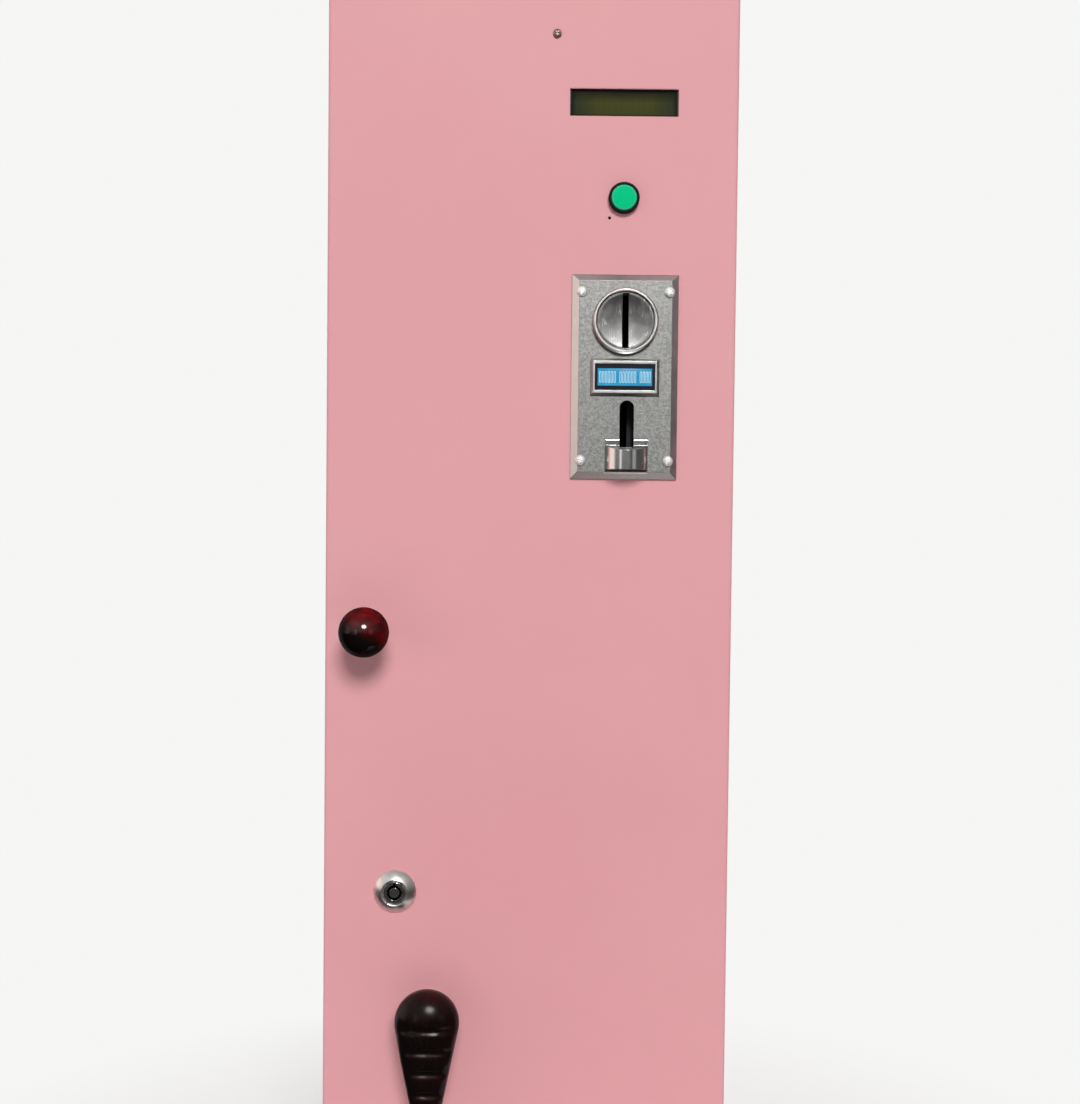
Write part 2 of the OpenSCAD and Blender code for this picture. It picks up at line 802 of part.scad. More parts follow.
// Screws that hold the bed and the column's straps on the back
module fixing_screws() {
  color("silver")
    for (p = screw_places()) {
      seat = p[1] < bed_z ? y_back - seam - bed_t : y_back - 1.5;
      translate([p[0], 0, p[1]]) {
        bar_y(shank_r, seat - 1, y_wall - 0.2);
        bar_y(2 * shank_r, seat - 2.4, seat);
      }
    }
}

// Door

// The folded pan with its cut-outs
module door_panel() {
  color("pink") difference() {
    union() {
      translate([0, y_face, door_lift]) linear_extrude(cab_h - door_lift)
        fold_channel(cab_w, door_d, sheet, fold_r);
      for (z = [door_lift, cab_h - sheet])
        translate([0, y_face, z]) linear_extrude(sheet) fold_outline(cab_w, door_d, fold_r);
    }
    for (z = [door_lift, cab_h - sheet])
      translate([hinge_x, hinge_y, z - eps]) cylinder(r = pin_r + run_fit, h = sheet + 2 * eps);
    on_door(display_x, display_z)
      span([-window_w / 2, -eps, -window_h / 2], [window_w / 2, sheet + eps, window_h / 2]);
    on_door(button_x, button_z) bar_y(button_r + hole_fit, -eps, sheet + eps);
    on_door(button_x - 8.6, button_z - 11.8) bar_y(pilot_r, -eps, sheet + eps);
    on_door(controls_x, acceptor_z) {
      span([-22, -eps, -54], [22, sheet + eps, entry_up + 23.5]);
      corners(plate_hole_dx, plate_hole_dz) bar_y(shank_r + hole_fit, -eps, sheet + eps);
    }
    on_door(earth_x, cab_h - earth_drop) bar_y(earth_r + hole_fit, -eps, sheet + eps);
    on_door(knob_x, knob_z) bar_y(stud_r + hole_fit, -eps, sheet + eps);
    on_door(lock_x, lock_z) bar_y(lock_body_r + hole_fit, -eps, sheet + eps);
    on_door(handle_x, handle_z) bar_y(sleeve_r + hole_fit, -eps, sheet + eps);
    span([-outlet_w / 2, y_face - eps, outlet_z], [outlet_w / 2, y_in + eps, outlet_z + outlet_h]);
  }
}

// The small screw near the top, with its nut inside
module earth_screw() {
  washer_t = 1.2;
  color("dimgray") on_door(earth_x, cab_h - earth_drop) {
    difference() {
      turned() polygon([[0, 0], [2.7, 0], [2.5, 1.3], [1.4, 1.9], [0, 2]]);
      for (a = [0, 90])
        rotate([0, a, 0]) span([-0.35, -3, -1.5], [0.35, -0.9, 1.5]);
    }
    bar_y(earth_r, -0.2, 9);
    bar_y(4.6, sheet, sheet + washer_t);
    hex_y(4.2, sheet + washer_t, sheet + washer_t + 3.2);
  }
}

// Text display, built up behind its window
lcd_x = window_w / 2;
lcd_z = window_h / 2;
lcd_back = 8.5;
lcd_hole_x = lcd_x + 4.5;
lcd_hole_z = lcd_z + 7.25;

// A block behind the window, this much wider and higher than it on each side
module behind_window(grow_x, grow_z, y0, y1) {
  span([-lcd_x - grow_x, y0, -lcd_z - grow_z], [lcd_x + grow_x, y1, lcd_z + grow_z]);
}

module display_board() {
  color("darkgreen") on_door(display_x, display_z) difference() {
    behind_window(7, 9.75, lcd_back + seam, lcd_back + seam + board_t);
    corners(lcd_hole_x, lcd_hole_z) bar_y(board_screw_r + hole_fit, lcd_back - eps, lcd_back + board_t + eps);
  }
}

module display_frame() {
  wall = 0.8;
  color("dimgray") on_door(display_x, display_z) difference() {
    behind_window(2.6, 4.15, sheet + 0.3, lcd_back);
    behind_window(2.6 - wall, 4.15 - wall, sheet + 0.3 + wall, lcd_back + eps);
    behind_window(-0.7, -0.55, sheet - eps, sheet + 2);
  }
}

module display_glass() {
  color("olive") on_door(display_x, display_z) behind_window(1.6, 3.15, sheet + 1.2, sheet + 4);
}

module display_spacers() {
  color("silver") on_door(display_x, display_z) corners(lcd_hole_x, lcd_hole_z) {
    bar_y(2.3, sheet, lcd_back);
    bar_y(board_screw_r, lcd_back - eps, lcd_back + 2.5);
    hex_y(3, lcd_back + board_t + 0.2, lcd_back + board_t + 2.5);
  }
}

// Push button

module button_barrel() {
  bore = cap_r + 0.15;
  proud = 4.2;
  color("black") on_door(button_x, button_z) turned()
    polygon([[bore, -10], [bore, proud], [bezel_r - 0.6, proud], [bezel_r, proud - 0.6], [bezel_r, 0],
      [button_r, 0], [button_r, -20], [3.3, -20], [3.3, -10]]);
}

module button_nut() {
  color("black") on_door(button_x, button_z) nut_y(11.5, button_r + hole_fit, sheet, sheet + 4);
}

module switch_block() {
  color("dimgray") on_door(button_x, button_z) {
    span([-7.5, 20, -7.5], [7.5, 33, 7.5]);
    corners(4, 4) span([-0.4, 32, -1.4], [0.4, 40, 1.4]);
  }
}

module button_cap() {
  stem_r = 3;
  color("mediumseagreen") on_door(button_x, button_z) turned()
    polygon([[0, button_travel - 20 + 0.2], [stem_r, button_travel - 20 + 0.2], [stem_r, -7], [cap_r, -7],
      [cap_r, 3.6], [cap_r - 0.7, 4.3], [cap_r - 3, 4.6], [0, 4.7]]);
}

// Coin acceptor

// The return cup: a half-round pocket with a sloping mouth, under a lip on the plate
module return_cup() {
  half = 12.8;
  out = 11;
  round_r = 14;
  low = -56.6;
  rim = -41.2;
  fall = 3.8;
  lip_t = 1.6;
  lip_top = -37;
  floor_t = 7;
  pocket_y = slot_half - plate_t - 8.5;
  difference() {
    union() {
      intersection() {
        translate([0, round_r - plate_t - out, low]) cylinder(r = round_r, h = rim - low + eps);
        out_x(-half, half) polygon([
          [-plate_t - out - eps, low - eps], [eps - plate_t, low - eps],
          [eps - plate_t, rim], [-plate_t - out - eps, rim - fall]]);
      }
      out_x(-half, half) polygon([
        [eps - plate_t, rim - 6], [-plate_t - lip_t, rim - 6], [-plate_t - lip_t, lip_top - 1.6],
        [0.9 - plate_t - lip_t, lip_top], [eps - plate_t, lip_top]]);
    }
    span([-slot_half, pocket_y, low + floor_t], [slot_half, 1 - plate_t, lip_top + eps]);
    translate([0, pocket_y, low + floor_t]) cylinder(r = slot_half, h = lip_top - low);
  }
}

module acceptor_plate() {
  ring_top = plate_t + 4;
  frame_t = 3;
  bore = ring_r - 2.4;
  slot_top = -14.5 - slot_half;
  slot_low = -43;
  color("silver") on_door(controls_x, acceptor_z) difference() {
    union() {
      bevelled(plate_w, plate_h, plate_t, plate_bevel, 1.5);
      translate([0, 0, entry_up]) turned()
        polygon([[bore, 0.4], [ring_r, 0.4], [ring_r, ring_top - 1.2], [ring_r - 0.9, ring_top],
          [bore + 0.5, ring_top], [bore, ring_top - 0.5]]);
      translate([0, eps - plate_t, frame_up]) bevelled(frame_w, frame_h, frame_t + eps, 1.6, 1.2);
      translate([return_x, 0, 0]) return_cup();
    }
    translate([0, 0, entry_up]) bar_y(bore, -ring_top - eps, eps);
    translate([0, 0, frame_up])
      span([-glass_w / 2, -plate_t - frame_t - eps, -glass_h / 2], [glass_w / 2, eps, glass_h / 2]);
    translate([return_x, 0, 0]) {
      span([-slot_half, -plate_t - 1, slot_low], [slot_half, eps, slot_top]);
      translate([0, 0, slot_top]) bar_y(slot_half, -plate_t - 1, eps);
    }
    corners(plate_hole_dx, plate_hole_dz) bar_y(shank_r + hole_fit, -plate_t - eps, eps);
  }
}

module acceptor_screws() {
  dome_r = 3.3;
  color("gainsboro") on_door(controls_x, acceptor_z) corners(plate_hole_dx, plate_hole_dz) difference() {
    union() {
      translate([0, -plate_t, 0]) turned()
        polygon([[0, 0], [dome_r, 0], [dome_r - 0.2, 0.9], [dome_r - 0.9, 1.7], [dome_r - 2, 2.2], [0, 2.4]]);
      bar_y(shank_r, -plate_t - 0.2, 13);
    }
    for (a = [20, 110])
      rotate([0, a, 0]) span([-1.7, -plate_t - 3, -0.35], [1.7, -plate_t - 1.7, 0.35]);
  }
}

module acceptor_display() {
  half_w = glass_w / 2 - seam;
  half_h = glass_h / 2 - seam;
  color("midnightblue") on_door(controls_x, acceptor_z + frame_up)
    span([-half_w, -plate_t - 1.6, -half_h], [half_w, sheet - 0.4, half_h]);
}

// The housing, with the coin's way down and its way back
module acceptor_body() {
  half = 30;
  pocket = entry_back + entry_travel + 2;
  color("dimgray") on_door(controls_x, acceptor_z) difference() {
    span([-half, sheet, -housing_half], [half, acceptor_depth, housing_half]);
    translate([0, 0, entry_up]) bar_y(ring_r - 1.2, sheet - eps, pocket);
    span([-coin_slot / 2 - 1, pocket - 1, entry_up - 17], [coin_slot / 2 + 1, 44, entry_up + 17]);
    span([-coin_slot / 2 - 1, 18, -housing_half - eps], [coin_slot / 2 + 1, 52, entry_up]);
    translate([return_x, 0, 0]) span([-4.8, sheet - eps, -46], [4.8, 19, -14]);
    corners(plate_hole_dx, plate_hole_dz) bar_y(shank_r + hole_fit, 0, 14);
    span([half - 3, 9, -52], [half + eps, 50, -44]);
    span([half - 3, 9, 44], [half + eps, 50, 52]);
    span([-half - eps, 14, -30], [4 - half, 46, 30]);
  }
}

// The round coin entry: a bowled disc with the slot, pressed in to free a coin
module coin_entry() {
  disc_r = ring_r - 2.4 - 0.3;
  bowl_r = disc_r - 1.3;
  bowl_d = 3.2;
  bowl_ball = (bowl_r * bowl_r + bowl_d * bowl_d) / (2 * bowl_d);
  face = plate_t + 2.6;
  color("silver") on_door(controls_x, acceptor_z) translate([0, 0, entry_up]) difference() {
    bar_y(disc_r, -face, entry_back);
    span([-coin_slot / 2, -face - eps, -16.6], [coin_slot / 2, entry_back + eps, 16.6]);
    translate([0, bowl_d - face - bowl_ball, 0]) sphere(r = bowl_ball);
  }
}

// Ball knob

module knob_stud() {
  color("silver") on_door(knob_x, knob_z) {
    bar_y(6.5, -ball_out + 17, 0);
    bar_y(stud_r, -ball_out + 5, 11);
  }
}

module ball_knob() {
  color("black") on_door(knob_x, knob_z) difference() {
    union() {
      translate([0, -ball_out, 0]) sphere(r = ball_r);
      bar_y(7.5, -ball_out + 4, -ball_out + 16.8);
    }
    bar_y(stud_r + press, -ball_out + 4.8, 0);
  }
}

module knob_nut() {
  color("silver") on_door(knob_x, knob_z) nut_y(7.5, stud_r + hole_fit, sheet, sheet + 6);
}

// Lock

// The barrel, with a domed bezel round a shallow recess
module lock_barrel() {
  bore = 6.6;
  edge = 1;
  recess = 3.8;
  dome_r = 1.3 * lock_r;
  dome_in = sqrt(dome_r * dome_r - lock_r * lock_r) - edge;
  color("silver") on_door(lock_x, lock_z) difference() {
    union() {
      bar_y(lock_body_r, -eps, 22);
      intersection() {
        bar_y(lock_r, -10, 0);
        translate([0, dome_in, 0]) sphere(r = dome_r);
      }
    }
    bar_y(bore, -11, 22 + eps);
    turned() polygon([[0, recess], [bore + 1.2, recess], [bore + 2.6, 11], [0, 11]]);
  }
}

module lock_nut() {
  color("silver") on_door(lock_x, lock_z) nut_y(13.8, lock_body_r + hole_fit, sheet, sheet + 4);
}

// The turning plug with its ring keyway
module lock_plug() {
  plug_r = 6.5;
  face = 4.4;
  color("gainsboro") on_door(lock_x, lock_z) difference() {
    union() {
      bar_y(plug_r, -face, latch_in - 0.2);
      bar_y(tail_r, 0, latch_in + 5.6);
    }
    turned() polygon([[3, face - 5], [4.7, face - 5], [4.7, face + eps], [3, face + eps]]);
    span([-0.8, -face - eps, 4], [0.8, -face + 4, 6]);
  }
}

module lock_cam() {
  cam_t = 2;
  half = 7;
  color("silver") on_door(lock_x, lock_z) out_y(latch_in, latch_in + cam_t) difference() {
    union() {
      circle(8.5);
      translate([-half, 0]) square([2 * half, cam_reach - half]);
      translate([0, cam_reach - half]) circle(half);
    }
    circle(tail_r + press);
  }
}

module cam_nut() {
  color("silver") on_door(lock_x, lock_z) nut_y(7, tail_r + press, latch_in + 2.1, latch_in + 5);
}

// Turn handle

module handle_rose() {
  bore = spindle_r + run_fit;
  flange_r = sleeve_r + 4.2;
  color("silver") on_door(handle_x, handle_z) turned()
    polygon([[bore, -9], [sleeve_r, -9], [sleeve_r, 0], [flange_r, 0], [flange_r, 2],
      [flange_r - 1.4, 3.4], [bore, 3.4]]);
}

module rose_nut() {
  color("silver") on_door(handle_x, handle_z) nut_y(13, sleeve_r + hole_fit, sheet, sheet + 5);
}

// The moulded grip: a domed head and a tapering lever with grooves across the front
module turn_handle() {
  rear = 12;
  past = 4;
  neck_r = sleeve_r + 3.8;
  dome_r = 27;
  dome_out = handle_out - dome_r;
  // The lever's back leans in below the head, on a slightly tighter curve
  lever_r = 26.5;
  lean = 6;
  flank = 0.99;
  crease_z = -lever_r * sin(lean) - sqrt(dome_r * dome_r - lever_r * lever_r) * cos(lean);
  first = 12;
  deep = 1.3;
  cut_r = 3;
  color("black") on_door(handle_x, handle_z) difference() {
    union() {
      bar_y(neck_r, -rear - 1, -4);
      intersection() {
        bar_y(head_r, -handle_out - past, -rear);
        translate([0, -dome_out, 0]) sphere(r = dome_r);
      }
      intersection() {
        out_y(-handle_out - past, -rear) {
          polygon([[-flank * head_r, 0], [flank * head_r, 0],
            [flank * tip_r, -handle_len], [-flank * tip_r, -handle_len]]);
          translate([0, -handle_len]) circle(tip_r);
        }
        translate([0, -dome_out, 0]) rotate([lean, 0, 0]) translate([0, 0, -2 * handle_len])
          cylinder(r = lever_r, h = 2 * handle_len);
      }
    }
    bar_y(spindle_r + press, -29, 0);
    for (k = [0 : 5]) {
      z = first - groove_pitch * k;
      crown = z > crease_z ? sqrt(dome_r * dome_r - z * z) : lever_r / cos(lean) + z * tan(lean);
      translate([0, deep - dome_out - crown - cut_r, z]) bar_x(cut_r, -head_r - past, head_r + past);
    }
  }
}

module handle_spindle() {
  color("silver") on_door(handle_x, handle_z) {
    bar_y(spindle_r, -28.8, latch_in - 0.2);
    bar_y(tail_r, 0, latch_in + 9);
  }
}

module latch_tongue() {
  half = 8;
  color("silver") on_door(handle_x, handle_z) out_y(latch_in, latch_in + 3) difference() {
    union() {
      circle(11);
      translate([-half, 0]) square([2 * half, tongue_reach - half]);
      translate([0, tongue_reach - half]) circle(half);
    }
    circle(tail_r + press);
  }
}

module tongue_nut() {
  color("silver") on_door(handle_x, handle_z) nut_y(7.5, tail_r + press, latch_in + 3.1, latch_in + 8);
}

// Outlet

// The surround on the door's face, with a collar through the sheet
module outlet_frame() {
  rim = 10;
  front = 4;
  wall = 2;
  mid_z = outlet_z + outlet_h / 2;
  color("black") translate([0, y_face, mid_z]) difference() {
    union() {
      bevelled(outlet_w + 2 * rim, outlet_h + 2 * rim, front, 2, 2);
      span([hole_fit - outlet_w / 2, -eps, hole_fit - outlet_h / 2],
           [outlet_w / 2 - hole_fit, sheet + 1.6, outlet_h / 2 - hole_fit]);
    }
    span([wall - outlet_w / 2, -front - eps, wall - outlet_h / 2],
         [outlet_w / 2 - wall, sheet + 2, outlet_h / 2 - wall]);
  }
}

// The hanging flap with its rolled upper edge
module outlet_flap() {
  half = outlet_w / 2 + 3;
  flap_t = 2;
  roll_r = 3.6;
  color("silver") difference() {
    union() {
      span([-half, rod_y - flap_t / 2, outlet_z - 3], [half, rod_y + flap_t / 2, rod_z]);
      translate([0, rod_y, rod_z]) bar_x(roll_r, -half, half);
    }
    translate([0, rod_y, rod_z]) bar_x(rod_r + run_fit, -half - eps, half + eps);
  }
}

module flap_rod() {
  reach = tray_x + sheet + 1;
  color("silver") translate([0, rod_y, rod_z]) bar_x(rod_r, -reach, reach);
}

// The sheet tray behind the outlet, open at the top
module retrieval_tray() {
  y1 = y_face + tray_d;
  side_z = rod_z + 6;
  back_z = tray_z + 28;
  cheek = [[y_in, tray_z], [y_in, side_z], [y_in + 14, side_z], [y1, back_z], [y1, tray_z]];
  color("gainsboro") difference() {
    union() {
      out_x(-tray_x - sheet, -tray_x) polygon(cheek);
      out_x(tray_x, tray_x + sheet) polygon(cheek);
      span([-tray_x - sheet, y_in, tray_z - sheet], [tray_x + sheet, y1, tray_z]);
      span([-tray_x - sheet, y1 - sheet, tray_z - sheet], [tray_x + sheet, y1, back_z]);
      span([-tray_x - sheet, y_in, tray_z - 12], [tray_x + sheet, y_in + sheet, tray_z]);
    }
    translate([0, rod_y, rod_z]) bar_x(rod_r + press, -tray_x - 5, tray_x + 5);
  }
}

cabinet_wrap();
cabinet_top();
cabinet_base();
hinge_brackets();
hinge_pins();
door_buffers();
packet_column();
column_brackets();
magazine_bed();
rack_rails();
gear_motor();
delivery_chute();
cash_shelf();
power_supply();
terminal_block();
control_board();
board_parts();
board_spacers();
mains_inlet();
inlet_blades();
fixing_screws();
cash_box();
pusher();
pinion();
motor_shaft();
power_rocker();
door_panel();
earth_screw();
display_board();
display_frame();
display_glass();
display_spacers();
button_barrel();
button_nut();
switch_block();
button_cap();
acceptor_plate();
acceptor_screws();
acceptor_display();
acceptor_body();
coin_entry();
coin_chute();
knob_stud();
ball_knob();
knob_nut();
lock_barrel();
lock_nut();
lock_plug();
lock_cam();
cam_nut();
handle_rose();
rose_nut();
turn_handle();
handle_spindle();
latch_tongue();
tongue_nut();
outlet_frame();
outlet_flap();
flap_rod();
retrieval_tray();
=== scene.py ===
# %% [markdown]
# # Dressing a coin-operated packet dispenser
# The machine is a narrow pink steel cabinet with a full-width door. Its sixty solid pieces come from an
# imported CAD model at their real size, and this script never moves them. It
# adds what solids lack: a camera, light, finishes, and the small pieces that show from a step away.

# %% Load the frame
import json
import math

import bmesh
import bpy
from mathutils import Matrix, Vector


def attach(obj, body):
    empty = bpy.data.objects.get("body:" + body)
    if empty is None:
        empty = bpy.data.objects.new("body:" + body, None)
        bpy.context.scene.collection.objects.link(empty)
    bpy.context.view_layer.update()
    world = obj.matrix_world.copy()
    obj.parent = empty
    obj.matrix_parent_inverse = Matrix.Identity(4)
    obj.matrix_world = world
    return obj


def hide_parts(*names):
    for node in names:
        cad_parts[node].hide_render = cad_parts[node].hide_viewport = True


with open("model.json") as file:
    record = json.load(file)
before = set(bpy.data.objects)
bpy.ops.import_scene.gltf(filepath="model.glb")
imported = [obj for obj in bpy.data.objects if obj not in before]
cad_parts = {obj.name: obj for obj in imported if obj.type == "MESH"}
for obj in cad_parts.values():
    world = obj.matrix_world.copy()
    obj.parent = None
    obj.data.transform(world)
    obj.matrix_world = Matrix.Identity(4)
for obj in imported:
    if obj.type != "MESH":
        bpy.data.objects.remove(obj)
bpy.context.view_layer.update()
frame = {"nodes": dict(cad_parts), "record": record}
NODES = frame["nodes"]
SLOT_OF = {part["node"]: part["material_slot"] for part in frame["record"]["subparts"]}
MM = 0.001

# %% [markdown]
# ## The camera
# The photograph looks at the door from straight in front, a little below the acceptor, so the picture cuts
# off the top and the bottom of the machine. The eye and the lens were worked out from the known sizes of
# the display window and of the acceptor's plate. A matrix built from three directions is plainer to read
# than three angles, and it takes the camera's slight tilt too.

# %% Place the camera
EYE = Vector((6.81, -945.0, 547.02)) * MM
PITCH = math.radians(-1.82)
ROLL = math.radians(0.618)
FOCAL_PIXELS, FRAME_PIXELS, SENSOR = 1384.3, 1104, 36.0


def show(name, data):
    """A new object in the scene, made from its data."""
    obj = bpy.data.objects.new(name, data)
    bpy.context.scene.collection.objects.link(obj)
    return obj


ahead = Vector((0.0, math.cos(PITCH), math.sin(PITCH)))
level = Vector((1.0, 0.0, 0.0))
right = level * math.cos(ROLL) + level.cross(ahead) * math.sin(ROLL)
up = right.cross(ahead)
camera = show("shop_camera", bpy.data.cameras.new("shop_camera"))
camera.data.sensor_width = SENSOR
camera.data.lens = FOCAL_PIXELS * (SENSOR / FRAME_PIXELS)
camera.data.clip_start = 0.01
camera.matrix_world = Matrix.Translation(EYE) @ Matrix((right, up, -ahead)).transposed().to_4x4()
bpy.context.scene.camera = camera
bpy.context.scene.view_settings.view_transform = "Standard"
print("camera: lens", round(camera.data.lens, 2), "mm")

# %% [markdown]
# ## Short words for building node trees
# Every finish below is a tree of nodes. Made one call at a time such a tree takes pages, so a few helpers
# do the repeated part: put() adds a node and either links or sets each input, calc() is one sum and times()
# a product, ramp() stretches a range and span() a mask, tint() mixes two colours, where() is a point's
# place on its piece and split() takes a place apart.

# %% Node helpers
def feed(tree, socket, value):
    if isinstance(value, bpy.types.NodeSocket):
        tree.links.new(value, socket)
    else:
        socket.default_value = value


def put(tree, kind, inputs=None, **settings):
    node = tree.nodes.new("ShaderNode" + kind)
    for name, value in settings.items():
        setattr(node, name, value)
    for name, value in (inputs or {}).items():
        feed(tree, node.inputs[name], value)
    return node


def calc(tree, operation, *values):
    return put(tree, "Math", dict(enumerate(values)), operation=operation).outputs[0]


def times(tree, first, *others):
    for value in others:
        first = calc(tree, "MULTIPLY", first, value)
    return first


def vector(tree, operation, *values):
    """One sum on vectors. A length or a dot product comes out as a plain number."""
    made = put(tree, "VectorMath", dict(enumerate(values)), operation=operation).outputs
    return made["Value"] if operation in ("LENGTH", "DOT_PRODUCT") else made["Vector"]


def ramp(tree, value, low, high, start=0.0, end=1.0):
    names = {"Value": value, "From Min": low, "From Max": high, "To Min": start, "To Max": end}
    return put(tree, "MapRange", names).outputs[0]


def span(tree, mask, start, end):
    return ramp(tree, mask, 0.0, 1.0, start, end)


def tint(tree, factor, first, second):
    return put(tree, "Mix", {0: factor, 6: first, 7: second}, data_type="RGBA").outputs[2]


def where(tree):
    return put(tree, "TexCoord").outputs["Object"]


def split(tree, place):
    return put(tree, "SeparateXYZ", {"Vector": place}).outputs


def noise(tree, place, scale, detail=2.0, rough=0.5):
    names = {"Vector": place, "Scale": scale, "Detail": detail, "Roughness": rough}
    return put(tree, "TexNoise", names).outputs[0]


def screen(red, green, blue):
    """A screen colour of 0 to 255 as the linear colour that Blender works with."""
    parts = [c / 255 for c in (red, green, blue)]
    return tuple(p / 12.92 if p <= 0.04045 else ((p + 0.055) / 1.055) ** 2.4 for p in parts) + (1.0,)


def grey(level):
    return (level, level, level, 1.0)


print("helpers ready; pink reads", [round(c, 3) for c in screen(222, 163, 168)])

# %% [markdown]
# ## A white studio
# The machine stands against off-white. Rays from the camera, from mirrors and through glass see that colour
# in every direction, while the light that falls on matt surfaces is a soft gradient: paler overhead and
# behind than in front. Light Path tells the two kinds of ray apart.

# %% The room
OFF_WHITE = screen(246, 246, 244)

room = bpy.data.worlds.new("white_studio")
room.use_nodes = True
bpy.context.scene.world = room
tree = room.node_tree
tree.nodes.clear()
way = split(tree, put(tree, "TexCoord").outputs["Generated"])
overhead = ramp(tree, way["Z"], -0.1, 0.9)
behind = ramp(tree, way["Y"], -0.55, 0.5)
glow = calc(tree, "MAXIMUM", times(tree, overhead, 0.28), behind)
soft = tint(tree, glow, (0.04, 0.04, 0.041, 1.0), (0.60, 0.60, 0.59, 1.0))


def shown_ray(tree):
    """1 for rays from the camera, off glossy surfaces and through glass, and 0 for the rest."""
    path = put(tree, "LightPath").outputs
    mirrored = calc(tree, "MAXIMUM", path["Is Glossy Ray"], path["Is Transmission Ray"])
    return calc(tree, "MAXIMUM", path["Is Camera Ray"], mirrored)


colour = tint(tree, shown_ray(tree), soft, OFF_WHITE)
backdrop = put(tree, "Background", {"Color": colour, "Strength": 1.0})
put(tree, "OutputWorld", {"Surface": backdrop.outputs[0]})
print("room: soft gradient light, off-white where it shows")

# %% [markdown]
# ## The floor
# The floor is a pale disc. Close to the machine it is an ordinary matt surface, so it keeps the machine's
# shadow. Further out it fades to the backdrop's own colour, which hides the line where a floor would end.
# To diffuse rays it grows darker outwards: near the machine it lights the foot of the door, as a pale floor
# does, but a wide floor that throws all its light back would fill the shadows under the knob.

# %% Floor disc
def stage_piece(name, bm, paint):
    """A part of the studio, and the empty node tree of its material."""
    mesh = bpy.data.meshes.new(name)
    bm.to_mesh(mesh)
    bm.free()
    piece = show(name, mesh)
    material = bpy.data.materials.new(paint)
    material.use_nodes = True
    material.node_tree.nodes.clear()
    mesh.materials.append(material)
    return piece, material.node_tree


bm = bmesh.new()
bmesh.ops.create_circle(bm, cap_ends=True, segments=96, radius=12.0)
floor, tree = stage_piece("pale_floor", bm, "pale_floor")
place = where(tree)
away = vector(tree, "LENGTH", place)
fade = ramp(tree, away, 0.22, 0.58)
fibre = ramp(tree, noise(tree, place, 60.0, 4.0), 0.3, 0.7)
white = tint(tree, fibre, (0.84, 0.84, 0.83, 1.0), (0.87, 0.87, 0.86, 1.0))
bounce = put(tree, "LightPath").outputs["Is Diffuse Ray"]
returned = ramp(tree, away, 0.3, 1.4, 0.85, 0.38)
matt = put(tree, "BsdfDiffuse", {"Color": tint(tree, bounce, white, returned)})
glow = put(tree, "Emission", {"Color": OFF_WHITE, "Strength": 1.0})
faded = times(tree, fade, shown_ray(tree))
both = put(tree, "MixShader", {0: faded, 1: matt.outputs[0], 2: glow.outputs[0]})
put(tree, "OutputMaterial", {"Surface": both.outputs[0]})
print("floor: disc of", len(floor.data.vertices), "points")

# %% [markdown]
# ## A grey cove
# A mirror in an all-white room has no shape, and black gloss turns grey there. A photographer stands a
# grey cove in front of such things, round the camera. This one is part of a sphere and a mat on the
# floor: dark below, mid grey higher up, paler to the left than to the right, and warm at its far left,
# which tints the plate's left bevel. A dark flag between two white cards puts the upright stripes on the
# round return cup. Only mirrors and glass see the cove. The camera and the lamps look straight through,
# so it darkens nothing matt.

# %% Grey cove
COVE_HEART = Vector((0.0, 0.0, 0.5))
COVE_RADIUS, COVE_TOP = 10.5, 88
COVE_LEFT, COVE_RIGHT = -100, 115
MAT_LEFT, MAT_RIGHT, MAT_TURN = 0.16, 0.32, 20
COLUMNS, MAT_STEPS, COVE_STEPS = 60, 12, 20
FLAG_AT, FLAG_HALF = 4.3, 0.65
CARDS = ((-5.1, 0.7, 1.0), (6.5, 1.2, 0.35))

bm = bmesh.new()
foot = math.sqrt(COVE_RADIUS ** 2 - COVE_HEART.z ** 2)
rise = math.degrees(math.asin(-COVE_HEART.z / COVE_RADIUS))
columns = []
for k in range(COLUMNS + 1):
    turn = COVE_LEFT + (COVE_RIGHT - COVE_LEFT) * k / COLUMNS
    start = MAT_LEFT + (MAT_RIGHT - MAT_LEFT) * min(1.0, max(0.0, turn / MAT_TURN))
    profile = [(start + (foot - start) * j / MAT_STEPS, 3 * MM) for j in range(MAT_STEPS + 1)]
    for j in range(1, COVE_STEPS + 1):
        tilt = math.radians(rise + (COVE_TOP - rise) * j / COVE_STEPS)
        profile.append((COVE_RADIUS * math.cos(tilt), COVE_HEART.z + COVE_RADIUS * math.sin(tilt)))
    way = Vector((math.sin(math.radians(turn)), -math.cos(math.radians(turn)), 0.0))
    columns.append([bm.verts.new(way * r + Vector((0.0, 0.0, z))) for r, z in profile])
for first, second in zip(columns, columns[1:]):
    for j in range(len(first) - 1):
        bm.faces.new((first[j], second[j], second[j + 1], first[j + 1]))
cove, tree = stage_piece("grey_cove", bm, "grey_felt")
cove.visible_camera = False
cove.visible_diffuse = False
cove.visible_shadow = False


def white_card(tree, spot, low_down, at, half, bright):
    """The light of an upright white card on the front of the cove, round one X."""
    card = calc(tree, "COMPARE", spot["X"], at, half)
    return times(tree, card, low_down, ramp(tree, spot["Y"], -4.0, -6.0, 0.0, bright))


